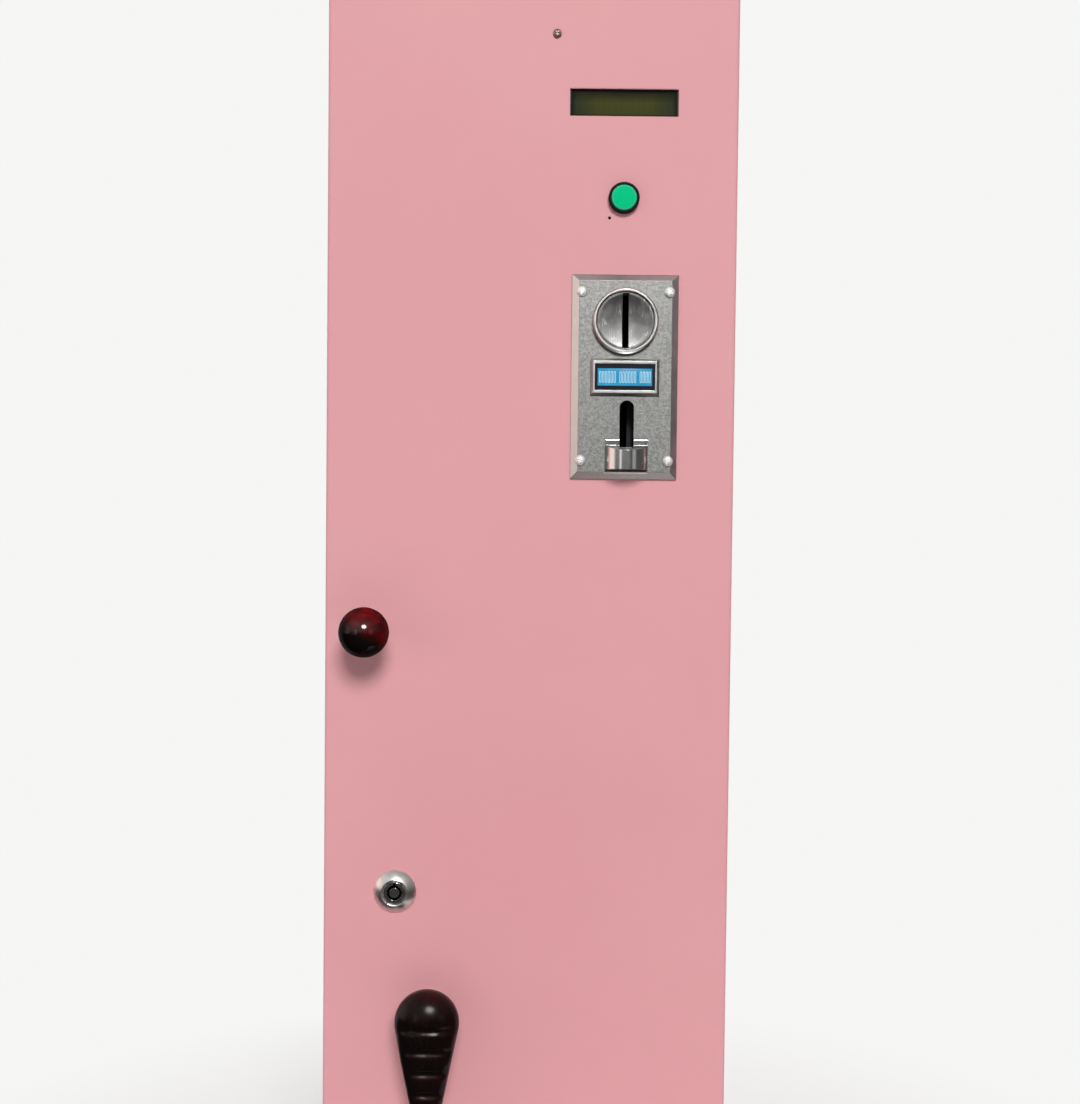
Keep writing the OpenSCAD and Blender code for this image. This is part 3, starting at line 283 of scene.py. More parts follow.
spot = split(tree, where(tree))
low = ramp(tree, spot["Z"], 0.0, 2.6, 0.05, 0.46)
high = ramp(tree, spot["Z"], 2.6, 6.5, 0.0, 0.14)
side = ramp(tree, spot["X"], -7.5, 8.5, 1.25, 0.48)
nap = ramp(tree, noise(tree, where(tree), 0.8, 3.0), 0.3, 0.7, 0.85, 1.15)
shade = times(tree, calc(tree, "ADD", low, high), side, nap)
shade = times(tree, shade, ramp(tree, spot["Z"], 7.5, 9.5, 1.0, 0.6))
low_down = ramp(tree, spot["Z"], 2.6, 3.6, 1.0, 0.0)
flag = times(tree, calc(tree, "COMPARE", spot["X"], FLAG_AT, FLAG_HALF), low_down)
shade = times(tree, shade, span(tree, flag, 1.0, 0.25))
for at, half, bright in CARDS:
    shade = calc(tree, "ADD", shade, white_card(tree, spot, low_down, at, half, bright))
wall = ramp(tree, spot["X"], -8.8, -9.6)
colour = tint(tree, wall, shade, (1.40, 1.16, 1.08, 1.0))
glow = put(tree, "Emission", {"Color": colour, "Strength": 1.0})
put(tree, "OutputMaterial", {"Surface": glow.outputs[0]})
print("cove:", len(cove.data.polygons), "faces, seen by mirrors only")

# %% [markdown]
# ## The lamps
# The ball knob says where the light stood. Its shadow and its bright spot agree: above the camera and a
# little to the right, some 31 degrees up. The spot's size gives the lamp's size. A weak lamp on the left
# lifts the shadows there and is kept out of the mirrors, and a rear lamp lights the back for other views.
# Together they are set so that a matt surface on the door renders at about the colour it is given.

# %% Lamps
def softbox(name, place, aim, size, watts):
    lamp = bpy.data.lights.new(name, "AREA")
    lamp.shape = "ELLIPSE"
    lamp.size, lamp.size_y = size
    lamp.energy = watts
    obj = show(name, lamp)
    obj.location = place
    obj.rotation_euler = (Vector(aim) - Vector(place)).to_track_quat("-Z", "Y").to_euler()
    return obj


softbox("key_box", (0.92, -6.90, 4.59), (0.0, -0.09, 0.5), (2.8, 2.4), 470.0)
fill = softbox("left_fill", (-2.28, -1.54, 0.62), (0.0, -0.1, 0.5), (2.0, 2.0), 8.0)
fill.visible_glossy = False
softbox("rear_box", (0.7, 2.8, 1.7), (0.0, 0.09, 0.5), (1.2, 0.9), 34.0)

# %% [markdown]
# ## Shared effects
# Real finishes share a few effects: patches of slightly different tone, edges rubbed by hands, dust on what
# faces up, the skin of sprayed powder, brush lines, cast grain. Each is a node group that is built once and
# placed in many materials with its own values. A group gives out only masks, heights and normals; the
# shader itself stays in the material, where the exporter can read it.

# %% Group maker
def start_group(name, inputs, outputs):
    tree = bpy.data.node_groups.new(name, "ShaderNodeTree")
    for label, value in inputs.items():
        kind = "NodeSocketVector" if isinstance(value, tuple) else "NodeSocketFloat"
        tree.interface.new_socket(name=label, in_out="INPUT", socket_type=kind).default_value = value
    for label in outputs:
        kind = "NodeSocketVector" if label == "Normal" else "NodeSocketFloat"
        tree.interface.new_socket(name=label, in_out="OUTPUT", socket_type=kind)
    given = tree.nodes.new("NodeGroupInput").outputs
    made = tree.nodes.new("NodeGroupOutput").inputs
    return tree, given, made


def use(tree, name, **values):
    node = tree.nodes.new("ShaderNodeGroup")
    node.node_tree = bpy.data.node_groups[name]
    for label, value in values.items():
        feed(tree, node.inputs[label], value)
    return node.outputs


# %% Patches, edges and dust
tree, given, made = start_group("Patches", {"Scale": 8.0, "Low": 0.35, "High": 0.65}, ["Mask"])
place = where(tree)
cloud = noise(tree, place, given["Scale"], 4.0, 0.55)
feed(tree, made["Mask"], ramp(tree, cloud, given["Low"], given["High"]))

tree, given, made = start_group("Rubbed edges", {"Radius": 0.001, "Scale": 150.0}, ["Mask", "Normal"])
place = where(tree)
eased = put(tree, "Bevel", {"Radius": given["Radius"]}, samples=4).outputs[0]
true = put(tree, "NewGeometry").outputs["Normal"]
turn = vector(tree, "DOT_PRODUCT", eased, true)
edge = ramp(tree, turn, 0.995, 0.86)
crumble = ramp(tree, noise(tree, place, given["Scale"], 3.0), 0.38, 0.62, 0.25, 1.0)
feed(tree, made["Mask"], times(tree, edge, crumble))
feed(tree, made["Normal"], eased)

tree, given, made = start_group("Settled dust", {"Amount": 0.3, "Scale": 40.0}, ["Mask"])
spot = put(tree, "TexCoord").outputs
facing = split(tree, spot["Normal"])["Z"]
lying = ramp(tree, facing, 0.35, 0.95)
drift = ramp(tree, noise(tree, spot["Object"], given["Scale"], 5.0, 0.6), 0.32, 0.7)
feed(tree, made["Mask"], times(tree, lying, drift, given["Amount"]))
print("groups:", [g.name for g in bpy.data.node_groups])

# %% Skins and grains
tree, given, made = start_group("Powder skin", {"Scale": 600.0}, ["Height", "Speck"])
place = where(tree)
swell = noise(tree, place, given["Scale"], 1.0)
fine = noise(tree, place, times(tree, given["Scale"], 4.3), 2.0)
feed(tree, made["Height"], calc(tree, "ADD", swell, times(tree, fine, 0.25)))
feed(tree, made["Speck"], ramp(tree, fine, 0.25, 0.75))

tree, given, made = start_group("Moulded grain", {"Scale": 1500.0}, ["Height", "Shine"])
place = where(tree)
spark = noise(tree, place, given["Scale"], 2.0, 0.6)
smear = noise(tree, place, 35.0, 3.0)
feed(tree, made["Height"], spark)
feed(tree, made["Shine"], ramp(tree, smear, 0.3, 0.7))

tree, given, made = start_group("Cast grain", {"Scale": 1000.0}, ["Height", "Glint"])
place = where(tree)
names = {"Vector": place, "Scale": given["Scale"], "Smoothness": 0.35}
pebble = put(tree, "TexVoronoi", names, feature="SMOOTH_F1").outputs["Distance"]
lump = noise(tree, place, times(tree, given["Scale"], 0.55), 3.0, 0.6)
feed(tree, made["Height"], calc(tree, "ADD", times(tree, pebble, 0.8), lump))
feed(tree, made["Glint"], ramp(tree, lump, 0.35, 0.65))

# %% Lines and rings
tree, given, made = start_group("Brush lines", {"Stretch": (30.0, 900.0, 900.0)}, ["Streak"])
place = where(tree)
pulled = vector(tree, "MULTIPLY", place, given["Stretch"])
feed(tree, made["Streak"], ramp(tree, noise(tree, pulled, 1.0, 4.0, 0.65), 0.28, 0.72))

tree, given, made = start_group("Hair scratches", {"Scale": 40.0, "Amount": 0.5}, ["Mask"])
place = where(tree)
bent = vector(tree, "MULTIPLY", place, (1.0, 1.0, 0.07))
names = {"Vector": bent, "Scale": times(tree, given["Scale"], 6.0)}
crack = put(tree, "TexVoronoi", names, feature="DISTANCE_TO_EDGE").outputs["Distance"]
line = ramp(tree, crack, 0.0, 0.035, 1.0, 0.0)
some = ramp(tree, noise(tree, place, given["Scale"], 2.0), 0.5, 0.62)
feed(tree, made["Mask"], times(tree, line, some, given["Amount"]))

tree, given, made = start_group("Thread", {"Pitch": 0.001, "Start": -0.0935}, ["Height"])
depth = split(tree, where(tree))["Y"]
turns = calc(tree, "DIVIDE", depth, given["Pitch"])
tooth = calc(tree, "PINGPONG", turns, 0.5)
inside = calc(tree, "GREATER_THAN", depth, given["Start"])
feed(tree, made["Height"], times(tree, tooth, inside))

limits = {"X": 0.0, "Z": 0.0, "Wide": 0.001, "High": 0.001, "Face": -0.1, "Depth": 0.001}
tree, given, made = start_group("Deep recess", limits, ["Mask"])
spot = split(tree, where(tree))
inside = []
for axis, half in (("X", "Wide"), ("Z", "High")):
    off = calc(tree, "ABSOLUTE", calc(tree, "SUBTRACT", spot[axis], given[axis]))
    inside.append(calc(tree, "LESS_THAN", off, given[half]))
sunk = calc(tree, "DIVIDE", calc(tree, "SUBTRACT", spot["Y"], given["Face"]), given["Depth"])
feed(tree, made["Mask"], times(tree, *inside, ramp(tree, sunk, 0.0, 1.0)))
print("groups:", len(bpy.data.node_groups))

# %% [markdown]
# ## Finishes
# blank() starts a material with the values that are the same all over the piece, set on the shader's own
# sockets. lay() then links what changes over the surface: colour, roughness, and a bump that rides on the
# eased edges.

# %% Material helpers
FINISH = {}


def blank(slot, roughness=0.5, metallic=0.0, **constants):
    material = bpy.data.materials.new(slot)
    material.use_nodes = True
    skin = material.node_tree.nodes["Principled BSDF"]
    skin.inputs["Roughness"].default_value = roughness
    skin.inputs["Metallic"].default_value = metallic
    for label, value in constants.items():
        skin.inputs[label.replace("_", " ")].default_value = value
    FINISH[slot] = material
    return material.node_tree, skin


def lay(tree, skin, colour=None, roughness=None, height=None, depth=0.0001, strength=1.0, normal=None):
    if colour is not None:
        feed(tree, skin.inputs["Base Color"], colour)
    if roughness is not None:
        feed(tree, skin.inputs["Roughness"], roughness)
    if height is not None:
        names = {"Height": height, "Distance": depth, "Strength": strength}
        if normal is not None:
            names["Normal"] = normal
        normal = put(tree, "Bump", names).outputs[0]
    if normal is not None:
        feed(tree, skin.inputs["Normal"], normal)


# %% [markdown]
# ### Pink powder coat
# The cabinet is sprayed with powder and baked, which leaves a faint orange-peel skin and a satin sheen. The
# paint is a little thinner and paler along the folds, and dust lies on what faces up. The tone drifts by a
# few percent over the big sheets, which keeps a large plain panel from looking like a computer picture.

# %% Pink paint
DUST = screen(186, 176, 168)
tree, skin = blank("pink_paint", 0.56, Specular_IOR_Level=0.2)
patch = use(tree, "Patches", Scale=4.0, Low=0.3, High=0.7)
edges = use(tree, "Rubbed edges", Radius=0.0012, Scale=210.0)
powder = use(tree, "Powder skin", Scale=520.0)
dust = use(tree, "Settled dust", Amount=0.30, Scale=26.0)
colour = tint(tree, patch["Mask"], screen(223, 157, 163), screen(228, 164, 168))
colour = tint(tree, times(tree, powder["Speck"], 0.10), colour, screen(233, 178, 180))
colour = tint(tree, times(tree, edges["Mask"], 0.30), colour, screen(233, 196, 194))
colour = tint(tree, dust["Mask"], colour, DUST)
lay(tree, skin, colour, span(tree, patch["Mask"], 0.52, 0.60), powder["Height"], 0.00005, 0.35,
    edges["Normal"])

# %% [markdown]
# ### Sheet zinc and bright fittings
# Inside, the sheet is zinc-plated: the coat freezes in crystals some millimetres wide, each with its own
# shade. Bolts, nuts and the latch are bright plated steel, turned or stamped, with thread on the round
# shanks. A thread is a fine regular wave along the axis, so a bump does for it.

# %% Zinc sheet
tree, skin = blank("zinc_sheet", 0.4, 1.0)
crystal = put(tree, "TexVoronoi", {"Vector": where(tree), "Scale": 130.0, "Randomness": 1.0})
shade = split(tree, crystal.outputs["Color"])["X"]
edges = use(tree, "Rubbed edges", Radius=0.0006, Scale=300.0)
dust = use(tree, "Settled dust", Amount=0.35, Scale=30.0)
scratch = use(tree, "Hair scratches", Scale=30.0, Amount=0.5)
colour = tint(tree, shade, (0.50, 0.51, 0.53, 1.0), (0.62, 0.63, 0.64, 1.0))
colour = tint(tree, edges["Mask"], colour, grey(0.72))
colour = tint(tree, scratch["Mask"], colour, grey(0.76))
colour = tint(tree, dust["Mask"], colour, DUST)
lay(tree, skin, colour, span(tree, shade, 0.30, 0.48), shade, 0.00001, 0.3, edges["Normal"])

# %% Bright steel
tree, skin = blank("bright_steel", 0.28, 1.0)
patch = use(tree, "Patches", Scale=160.0)
edges = use(tree, "Rubbed edges", Radius=0.0004, Scale=500.0)
thread = use(tree, "Thread", Pitch=0.001, Start=-0.0915)
scratch = use(tree, "Hair scratches", Scale=90.0, Amount=0.6)
colour = tint(tree, patch["Mask"], grey(0.56), (0.66, 0.655, 0.64, 1.0))
colour = tint(tree, edges["Mask"], colour, grey(0.80))
colour = tint(tree, scratch["Mask"], colour, (0.80, 0.80, 0.79, 1.0))
lay(tree, skin, colour, span(tree, patch["Mask"], 0.20, 0.34), thread["Height"], 0.00025, 0.6,
    edges["Normal"])

# %% Dark screw
tree, skin = blank("dark_screw", 0.45, 0.85)
patch = use(tree, "Patches", Scale=420.0)
edges = use(tree, "Rubbed edges", Radius=0.0003, Scale=900.0)
colour = tint(tree, patch["Mask"], screen(126, 106, 95), screen(168, 150, 136))
colour = tint(tree, edges["Mask"], colour, screen(196, 188, 178))
rough = span(tree, patch["Mask"], 0.36, 0.55)
lay(tree, skin, colour, rough, patch["Mask"], 0.00003, 0.5, edges["Normal"])
print("finishes:", list(FINISH))

# %% [markdown]
# ### Chrome and the cast plate
# One helper makes the plated pieces, with faint smears, hair scratches, and painted shade deep in the keyway
# and the coin slot. The handle's rose and the lock's plug are almost mirrors. The lock's barrel and the coin
# entry are satin. The entry is dark, and its normals are turned towards the front, which evens out its
# bowl. The acceptor's plate is one zinc casting with two surfaces. Its flat field is pebbled and
# sparkles, while its bevels, ring, frame and cup are polished. The field lies in one plane, so the
# plane's depth and the way it faces pick it out, and no second mesh is needed. The return slot gets the
# same painted shade, and the upward faces of the cup's mouth are painted near black as shade.

# %% Chrome
def recess(x, z, wide, high, face, depth):
    """The inputs of a deep recess, from millimetres."""
    sizes = {"X": x, "Z": z, "Wide": wide, "High": high, "Face": face, "Depth": depth}
    return {label: value * MM for label, value in sizes.items()}


# Deep in the keyway, the coin slot and the return slot, the colour is a near-black painted shade.
KEYWAY = recess(-80.7, 309.0, 4.75, 6.2, -99.3, 0.6)
COIN_SLOT = recess(57.2, 661.0, 2.6, 13.5, -99.0, 0.4)
RECESS_SHADE = screen(26, 22, 20)


def plated(name, dull, clear, dark, pale, flatten=0.0):
    tree, skin = blank(name, (dull + clear) / 2, 1.0)
    smear = use(tree, "Patches", Scale=130.0, Low=0.4, High=0.7)
    edges = use(tree, "Rubbed edges", Radius=0.0003, Scale=600.0)
    thread = use(tree, "Thread", Pitch=0.001, Start=-0.0915)
    scratch = use(tree, "Hair scratches", Scale=110.0, Amount=0.5)
    keyway = use(tree, "Deep recess", **KEYWAY)
    slot = use(tree, "Deep recess", **COIN_SLOT)
    colour = tint(tree, smear["Mask"], dark, pale)
    colour = tint(tree, scratch["Mask"], colour, grey(0.84))
    # Painted shade: deep in the keyway and the coin slot the colour turns near black.
    shaded_hollow = calc(tree, "MAXIMUM", keyway["Mask"], slot["Mask"])
    colour = tint(tree, shaded_hollow, colour, RECESS_SHADE)
    rough = span(tree, smear["Mask"], clear, dull)
    rough = calc(tree, "ADD", rough, times(tree, scratch["Mask"], 0.2))
    rough = calc(tree, "ADD", rough, times(tree, shaded_hollow, 0.5))
    normal = edges["Normal"]
    if flatten:
        kinds = {"vector_type": "NORMAL", "convert_from": "OBJECT", "convert_to": "WORLD"}
        out = put(tree, "VectorTransform", {"Vector": (0.0, -1.0, 0.0)}, **kinds).outputs[0]
        bend = put(tree, "Mix", {0: flatten, 4: normal, 5: out}, data_type="VECTOR").outputs[1]
        normal = vector(tree, "NORMALIZE", bend)
    lay(tree, skin, colour, rough, thread["Height"], 0.00025, 0.6, normal)


plated("chrome", 0.20, 0.13, (0.60, 0.595, 0.58, 1.0), (0.67, 0.665, 0.65, 1.0))
plated("satin_lock", 0.36, 0.27, (0.70, 0.69, 0.66, 1.0), (0.80, 0.785, 0.75, 1.0))
plated("satin_entry", 0.38, 0.30, (0.15, 0.147, 0.144, 1.0), (0.19, 0.186, 0.18, 1.0), 0.69)

# %% Cast silver
PLATE_FACE = -100.0
RETURN_SLOT = recess(58.7, 598.8, 4.7, 15.0, PLATE_FACE + 0.4, 0.3)
RETURN_CUP = recess(58.7, 581.0, 13.2, 12.5, -200.0, 1.0)
tree, skin = blank("silver_cast", 0.25, 1.0)
spot = put(tree, "TexCoord").outputs
depth = split(tree, spot["Object"])["Y"]
toward = split(tree, spot["Normal"])["Y"]
level_face = calc(tree, "COMPARE", depth, PLATE_FACE * MM, 0.2 * MM)
field = times(tree, level_face, calc(tree, "LESS_THAN", toward, -0.97))
grain = use(tree, "Cast grain", Scale=1500.0)
smear = use(tree, "Patches", Scale=90.0)
edges = use(tree, "Rubbed edges", Radius=0.0005, Scale=500.0)
slot = use(tree, "Deep recess", **RETURN_SLOT)
cup = use(tree, "Deep recess", **RETURN_CUP)
polished = tint(tree, smear["Mask"], (0.54, 0.535, 0.52, 1.0), (0.62, 0.615, 0.60, 1.0))
polished = tint(tree, times(tree, cup["Mask"], 0.6), polished, (0.66, 0.655, 0.64, 1.0))
above = split(tree, spot["Normal"])["Z"]
# Painted shade: the upward faces of the cup's mouth are painted near black, and their shine dulls.
shaded_mouth = times(tree, cup["Mask"], ramp(tree, above, 0.6, 0.85))
polished = tint(tree, shaded_mouth, polished, (0.13, 0.13, 0.125, 1.0))
pebbled = tint(tree, grain["Glint"], (0.19, 0.19, 0.18, 1.0), (0.31, 0.31, 0.30, 1.0))
colour = tint(tree, field, polished, pebbled)
worn = times(tree, times(tree, edges["Mask"], 0.4), calc(tree, "SUBTRACT", 1.0, shaded_mouth))
colour = tint(tree, worn, colour, (0.66, 0.66, 0.65, 1.0))
# Painted shade inside the return slot.
colour = tint(tree, slot["Mask"], colour, RECESS_SHADE)
satin = span(tree, cup["Mask"], 0.29, 0.16)
rough = calc(tree, "MAXIMUM", satin, times(tree, field, 0.46))
rough = calc(tree, "ADD", rough, times(tree, smear["Mask"], 0.06))
rough = calc(tree, "ADD", rough, times(tree, calc(tree, "MAXIMUM", slot["Mask"], shaded_mouth), 0.5))
lay(tree, skin, colour, rough, times(tree, grain["Height"], field), 0.00007, 1.0, edges["Normal"])

# %% Pale screw domes
tree, skin = blank("pale_dome", 0.42, 0.6)
patch = use(tree, "Patches", Scale=300.0)
edges = use(tree, "Rubbed edges", Radius=0.0004, Scale=700.0)
colour = tint(tree, patch["Mask"], (0.88, 0.875, 0.85, 1.0), (0.95, 0.945, 0.92, 1.0))
lay(tree, skin, colour, span(tree, patch["Mask"], 0.36, 0.48), normal=edges["Normal"])

# %% [markdown]
# ### Flap, motor and supply case
# Three more metals: a stainless flap brushed from side to side, the motor's satin can, and the supply's
# anodised case. Brush lines are noise pulled long in one direction. One helper makes them all, and the
# inlet's brass blades further down.

# %% Brushed metals
def brushed(slot, stretch, streak, bare, shine, wear, bump, smears=0.0, dust=0.0):
    """A metal with fine lines: the streaks' two colours, the bare edges' colour, the range of roughness, the
    edges' radius and scale, and the bump's depth and strength."""
    tree, skin = blank(slot, sum(shine) / 2, 1.0)
    brush = use(tree, "Brush lines", Stretch=stretch)
    edges = use(tree, "Rubbed edges", Radius=wear[0], Scale=wear[1])
    colour = tint(tree, edges["Mask"], tint(tree, brush["Streak"], *streak), bare)
    rough = span(tree, brush["Streak"], *shine)
    if smears:
        rough = calc(tree, "ADD", rough, times(tree, use(tree, "Patches", Scale=45.0)["Mask"], smears))
    if dust:
        colour = tint(tree, use(tree, "Settled dust", Amount=dust, Scale=60.0)["Mask"], colour, DUST)
    lay(tree, skin, colour, rough, brush["Streak"], *bump, edges["Normal"])


brushed("brushed_flap", stretch=(18.0, 900.0, 1500.0), streak=(grey(0.50), (0.66, 0.66, 0.655, 1.0)),
        bare=grey(0.78), shine=(0.22, 0.36), wear=(0.0006, 300.0), bump=(0.00002, 0.5), smears=0.08)
brushed("motor_metal", stretch=(120.0, 120.0, 2600.0),
        streak=((0.46, 0.46, 0.455, 1.0), (0.58, 0.58, 0.57, 1.0)),
        bare=grey(0.75), shine=(0.26, 0.42), wear=(0.0007, 300.0), bump=(0.00002, 0.4))
brushed("case_aluminium", stretch=(1100.0, 1100.0, 22.0),
        streak=((0.56, 0.57, 0.58, 1.0), (0.66, 0.67, 0.68, 1.0)),
        bare=grey(0.8), shine=(0.34, 0.48), wear=(0.0006, 260.0), bump=(0.00001, 0.3), dust=0.4)
print("finishes:", len(FINISH))

# %% [markdown]
# ### Dark resin
# The ball and the handle are moulded from one hard resin, so dark that it looks black, with a deep red in
# its cloudy body. The red is painted light: it is laid only on the faces that point up and a little to the
# right, where the light falls on it. The ball is polished: a clear coat reflects sharply over the dark colour
# below. The handle is rubbed dull by hands. One helper makes both, and the way a point faces decides how
# much of the painted red shows.

# %% Dark resin
def resin(slot, dark, red, cloud_scale, shine, **constants):
    tree, skin = blank(slot, sum(shine) / 2, 0.0, **constants)
    cloud = use(tree, "Patches", Scale=cloud_scale, Low=0.43, High=0.62)
    edges = use(tree, "Rubbed edges", Radius=0.0006, Scale=300.0)
    scratch = use(tree, "Hair scratches", Scale=60.0, Amount=0.12)
    # Painted light: the red is laid on faces that turn up and to the right, towards the lamp.
    upward = vector(tree, "DOT_PRODUCT", put(tree, "TexCoord").outputs["Normal"], (0.5, 0.0, 0.866))
    lit = ramp(tree, upward, -0.2, 0.75)
    painted_lit_red = times(tree, span(tree, cloud["Mask"], 0.18, 1.0), lit)
    colour = tint(tree, painted_lit_red, dark, red)
    colour = tint(tree, scratch["Mask"], colour, screen(58, 48, 46))
    lay(tree, skin, colour, span(tree, cloud["Mask"], *shine), normal=edges["Normal"])
    return tree, skin


tree, skin = resin("dark_gloss", screen(9, 4, 4), screen(120, 10, 16), 62.0, (0.26, 0.34),
                   Specular_IOR_Level=0.0, Coat_Roughness=0.11, Coat_IOR=1.5)
slope = put(tree, "LayerWeight", {"Blend": 0.5}).outputs["Facing"]
feed(tree, skin.inputs["Coat Weight"], ramp(tree, slope, 0.07, 0.36, 1.0, 0.1))
resin("handle_resin", screen(13, 7, 6), screen(46, 13, 17), 48.0, (0.19, 0.25), Specular_IOR_Level=0.15)
print("finishes:", len(FINISH))

# %% [markdown]
# ### Plastics and rubber
# Moulded plastic copies the fine spark-eroded texture of its tool. One helper makes the whole family, with
# a colour, a shine and a grain size for each, because they differ in little else.

# %% Plastics
BUTTON = (55.6 * MM, 0.0, 736.0 * MM)


def moulded(slot, dark, pale, shine, grain_scale, depth, **constants):
    tree, skin = blank(slot, sum(shine) / 2, 0.0, **constants)
    grain = use(tree, "Moulded grain", Scale=grain_scale)
    edges = use(tree, "Rubbed edges", Radius=0.0004, Scale=400.0)
    dust = use(tree, "Settled dust", Amount=0.25, Scale=70.0)
    colour = tint(tree, grain["Shine"], dark, pale)
    lift = tuple(min(1.0, c * 1.35 + 0.02) for c in pale[:3]) + (1.0,)
    colour = tint(tree, times(tree, edges["Mask"], 0.5), colour, lift)
    colour = tint(tree, dust["Mask"], colour, DUST)
    rough = span(tree, grain["Shine"], *shine)
    lay(tree, skin, colour, rough, grain["Height"], depth, 0.5, edges["Normal"])
    return tree, skin


moulded("display_metal", screen(20, 20, 20), screen(32, 32, 32), (0.38, 0.5), 1400.0, 0.00002,
        Specular_IOR_Level=0.3)
moulded("black_plastic", screen(12, 15, 14), screen(21, 24, 22), (0.40, 0.52), 1800.0, 0.00003,
        Specular_IOR_Level=0.09)
moulded("grey_plastic", screen(56, 56, 58), screen(70, 70, 72), (0.45, 0.6), 1500.0, 0.00004)
moulded("nylon", screen(214, 210, 196), screen(228, 225, 212), (0.40, 0.52), 900.0, 0.00003,
        Subsurface_Weight=0.15, Subsurface_Scale=0.002)
moulded("red_rocker", screen(176, 22, 20), screen(196, 30, 26), (0.22, 0.32), 1500.0, 0.00002)
moulded("buffer_rubber", screen(30, 30, 30), screen(44, 43, 42), (0.7, 0.85), 700.0, 0.00006)
tree, skin = moulded("green_cap", screen(2, 196, 131), screen(4, 204, 139), (0.52, 0.62), 1200.0, 0.000015,
                     Specular_IOR_Level=0.03)
# Painted highlight: a paler green ring round the cap's chamfer, where the edge catches the light.
off_axis = vector(tree, "SUBTRACT", where(tree), BUTTON)
spread = vector(tree, "LENGTH", vector(tree, "MULTIPLY", off_axis, (1.0, 0.0, 1.0)))
rim = times(tree, ramp(tree, spread, 6.5 * MM, 7.3 * MM), 0.55)
lay(tree, skin, tint(tree, rim, skin.inputs["Base Color"].links[0].from_socket, screen(96, 222, 178)))
print("finishes:", len(FINISH))

# %% [markdown]
# ### The two displays
# The large display is a reflective text module: olive liquid-crystal glass behind a black frame, with two
# rows of sixteen blank character cells that show as slightly darker blocks. The cells come from the piece's
# own coordinates, folded into one repeating cell. The glass is darker towards its top, partly the module's
# own dark border and partly a painted shadow of the window's upper edge, and painted shade runs along its
# ends and its lower edge, where the frame's inner edges shade it. The small display is black glass; its lit
# panel is added further down as pieces of its own.

# %% Text display glass
DISPLAY = (55.2 * MM, 794.0 * MM)
CELL = (3.55 * MM, 5.95 * MM)


def mid_cell(tree, count, reach):
    """1 where a place, counted in cells, lies nearer to its cell's middle than the reach."""
    off = calc(tree, "SUBTRACT", calc(tree, "FRACT", count), 0.5)
    return calc(tree, "LESS_THAN", calc(tree, "ABSOLUTE", off), reach)


tree, skin = blank("display_glass", 0.35, 0.0, Specular_IOR_Level=0.0, Coat_Weight=0.35, Coat_Roughness=0.05)
spot = split(tree, where(tree))
across = calc(tree, "DIVIDE", calc(tree, "SUBTRACT", spot["X"], DISPLAY[0]), CELL[0])
along = calc(tree, "DIVIDE", calc(tree, "SUBTRACT", spot["Z"], DISPLAY[1]), CELL[1])
aside = calc(tree, "ABSOLUTE", across)
wide = calc(tree, "LESS_THAN", aside, 8.0)
high = calc(tree, "LESS_THAN", calc(tree, "ABSOLUTE", along), 1.0)
cells = times(tree, mid_cell(tree, across, 0.42), mid_cell(tree, along, 0.455), wide, high)
cloud = use(tree, "Patches", Scale=40.0)
middle = ramp(tree, aside, 4.5, 9.2, 1.0, 0.0)
# Darker towards the top: partly the module's own dark border, partly a painted shadow of the window's upper
# edge.
clear_of_top_shade = ramp(tree, along, 1.15, 0.1)
colour = tint(tree, middle, screen(40, 48, 38), screen(68, 70, 32))
colour = tint(tree, clear_of_top_shade, screen(24, 19, 13), colour)
colour = tint(tree, times(tree, cells, 0.12), colour, screen(28, 30, 22))
# Painted shade along both ends and the lower edge, where the frame's inner edges shade the glass.
ends = ramp(tree, aside, 8.2, 9.15)
sill_shade = ramp(tree, along, -1.0, -1.34)
colour = tint(tree, calc(tree, "MAXIMUM", ends, sill_shade), colour, screen(16, 10, 8))
colour = tint(tree, times(tree, cloud["Mask"], 0.12), colour, screen(84, 88, 48))
lay(tree, skin, colour, span(tree, cloud["Mask"], 0.30, 0.40))

# %% Small display glass
tree, skin = blank("small_display", 0.12, 0.0, Coat_Weight=1.0, Coat_Roughness=0.03)
cloud = use(tree, "Patches", Scale=90.0)
edges = use(tree, "Rubbed edges", Radius=0.0003, Scale=500.0)
colour = tint(tree, cloud["Mask"], screen(8, 12, 22), screen(14, 20, 34))
lay(tree, skin, colour, span(tree, cloud["Mask"], 0.08, 0.16), normal=edges["Normal"])

# %% [markdown]
# ### Circuit boards and brass
# A circuit board is glass cloth under green varnish. Copper tracks under the varnish show as paler lines
# that run straight and turn at right angles; a brick texture, turned to lie in the board's plane, gives
# such lines.

# %% Boards and blades
tree, skin = blank("board_green", 0.28, 0.0, Coat_Weight=0.4, Coat_Roughness=0.15)
place = where(tree)
spot = split(tree, place)
flat = put(tree, "CombineXYZ", {"X": spot["X"], "Y": spot["Z"]}).outputs[0]
names = {"Vector": flat, "Scale": 90.0, "Mortar Size": 0.035, "Mortar Smooth": 0.1, "Brick Width": 0.75,
         "Row Height": 0.16, "Color1": (0, 0, 0, 1), "Color2": (0, 0, 0, 1), "Mortar": (1, 1, 1, 1)}
layout = {"offset": 0.37, "offset_frequency": 3, "squash": 1.6, "squash_frequency": 2}
tracks = put(tree, "TexBrick", names, **layout).outputs["Fac"]
weave = use(tree, "Brush lines", Stretch=(900.0, 900.0, 900.0))
edges = use(tree, "Rubbed edges", Radius=0.0003, Scale=500.0)
colour = tint(tree, weave["Streak"], screen(10, 74, 40), screen(16, 88, 50))
colour = tint(tree, times(tree, tracks, 0.55), colour, screen(52, 128, 74))
colour = tint(tree, edges["Mask"], colour, screen(150, 150, 100))
rough = span(tree, weave["Streak"], 0.22, 0.34)
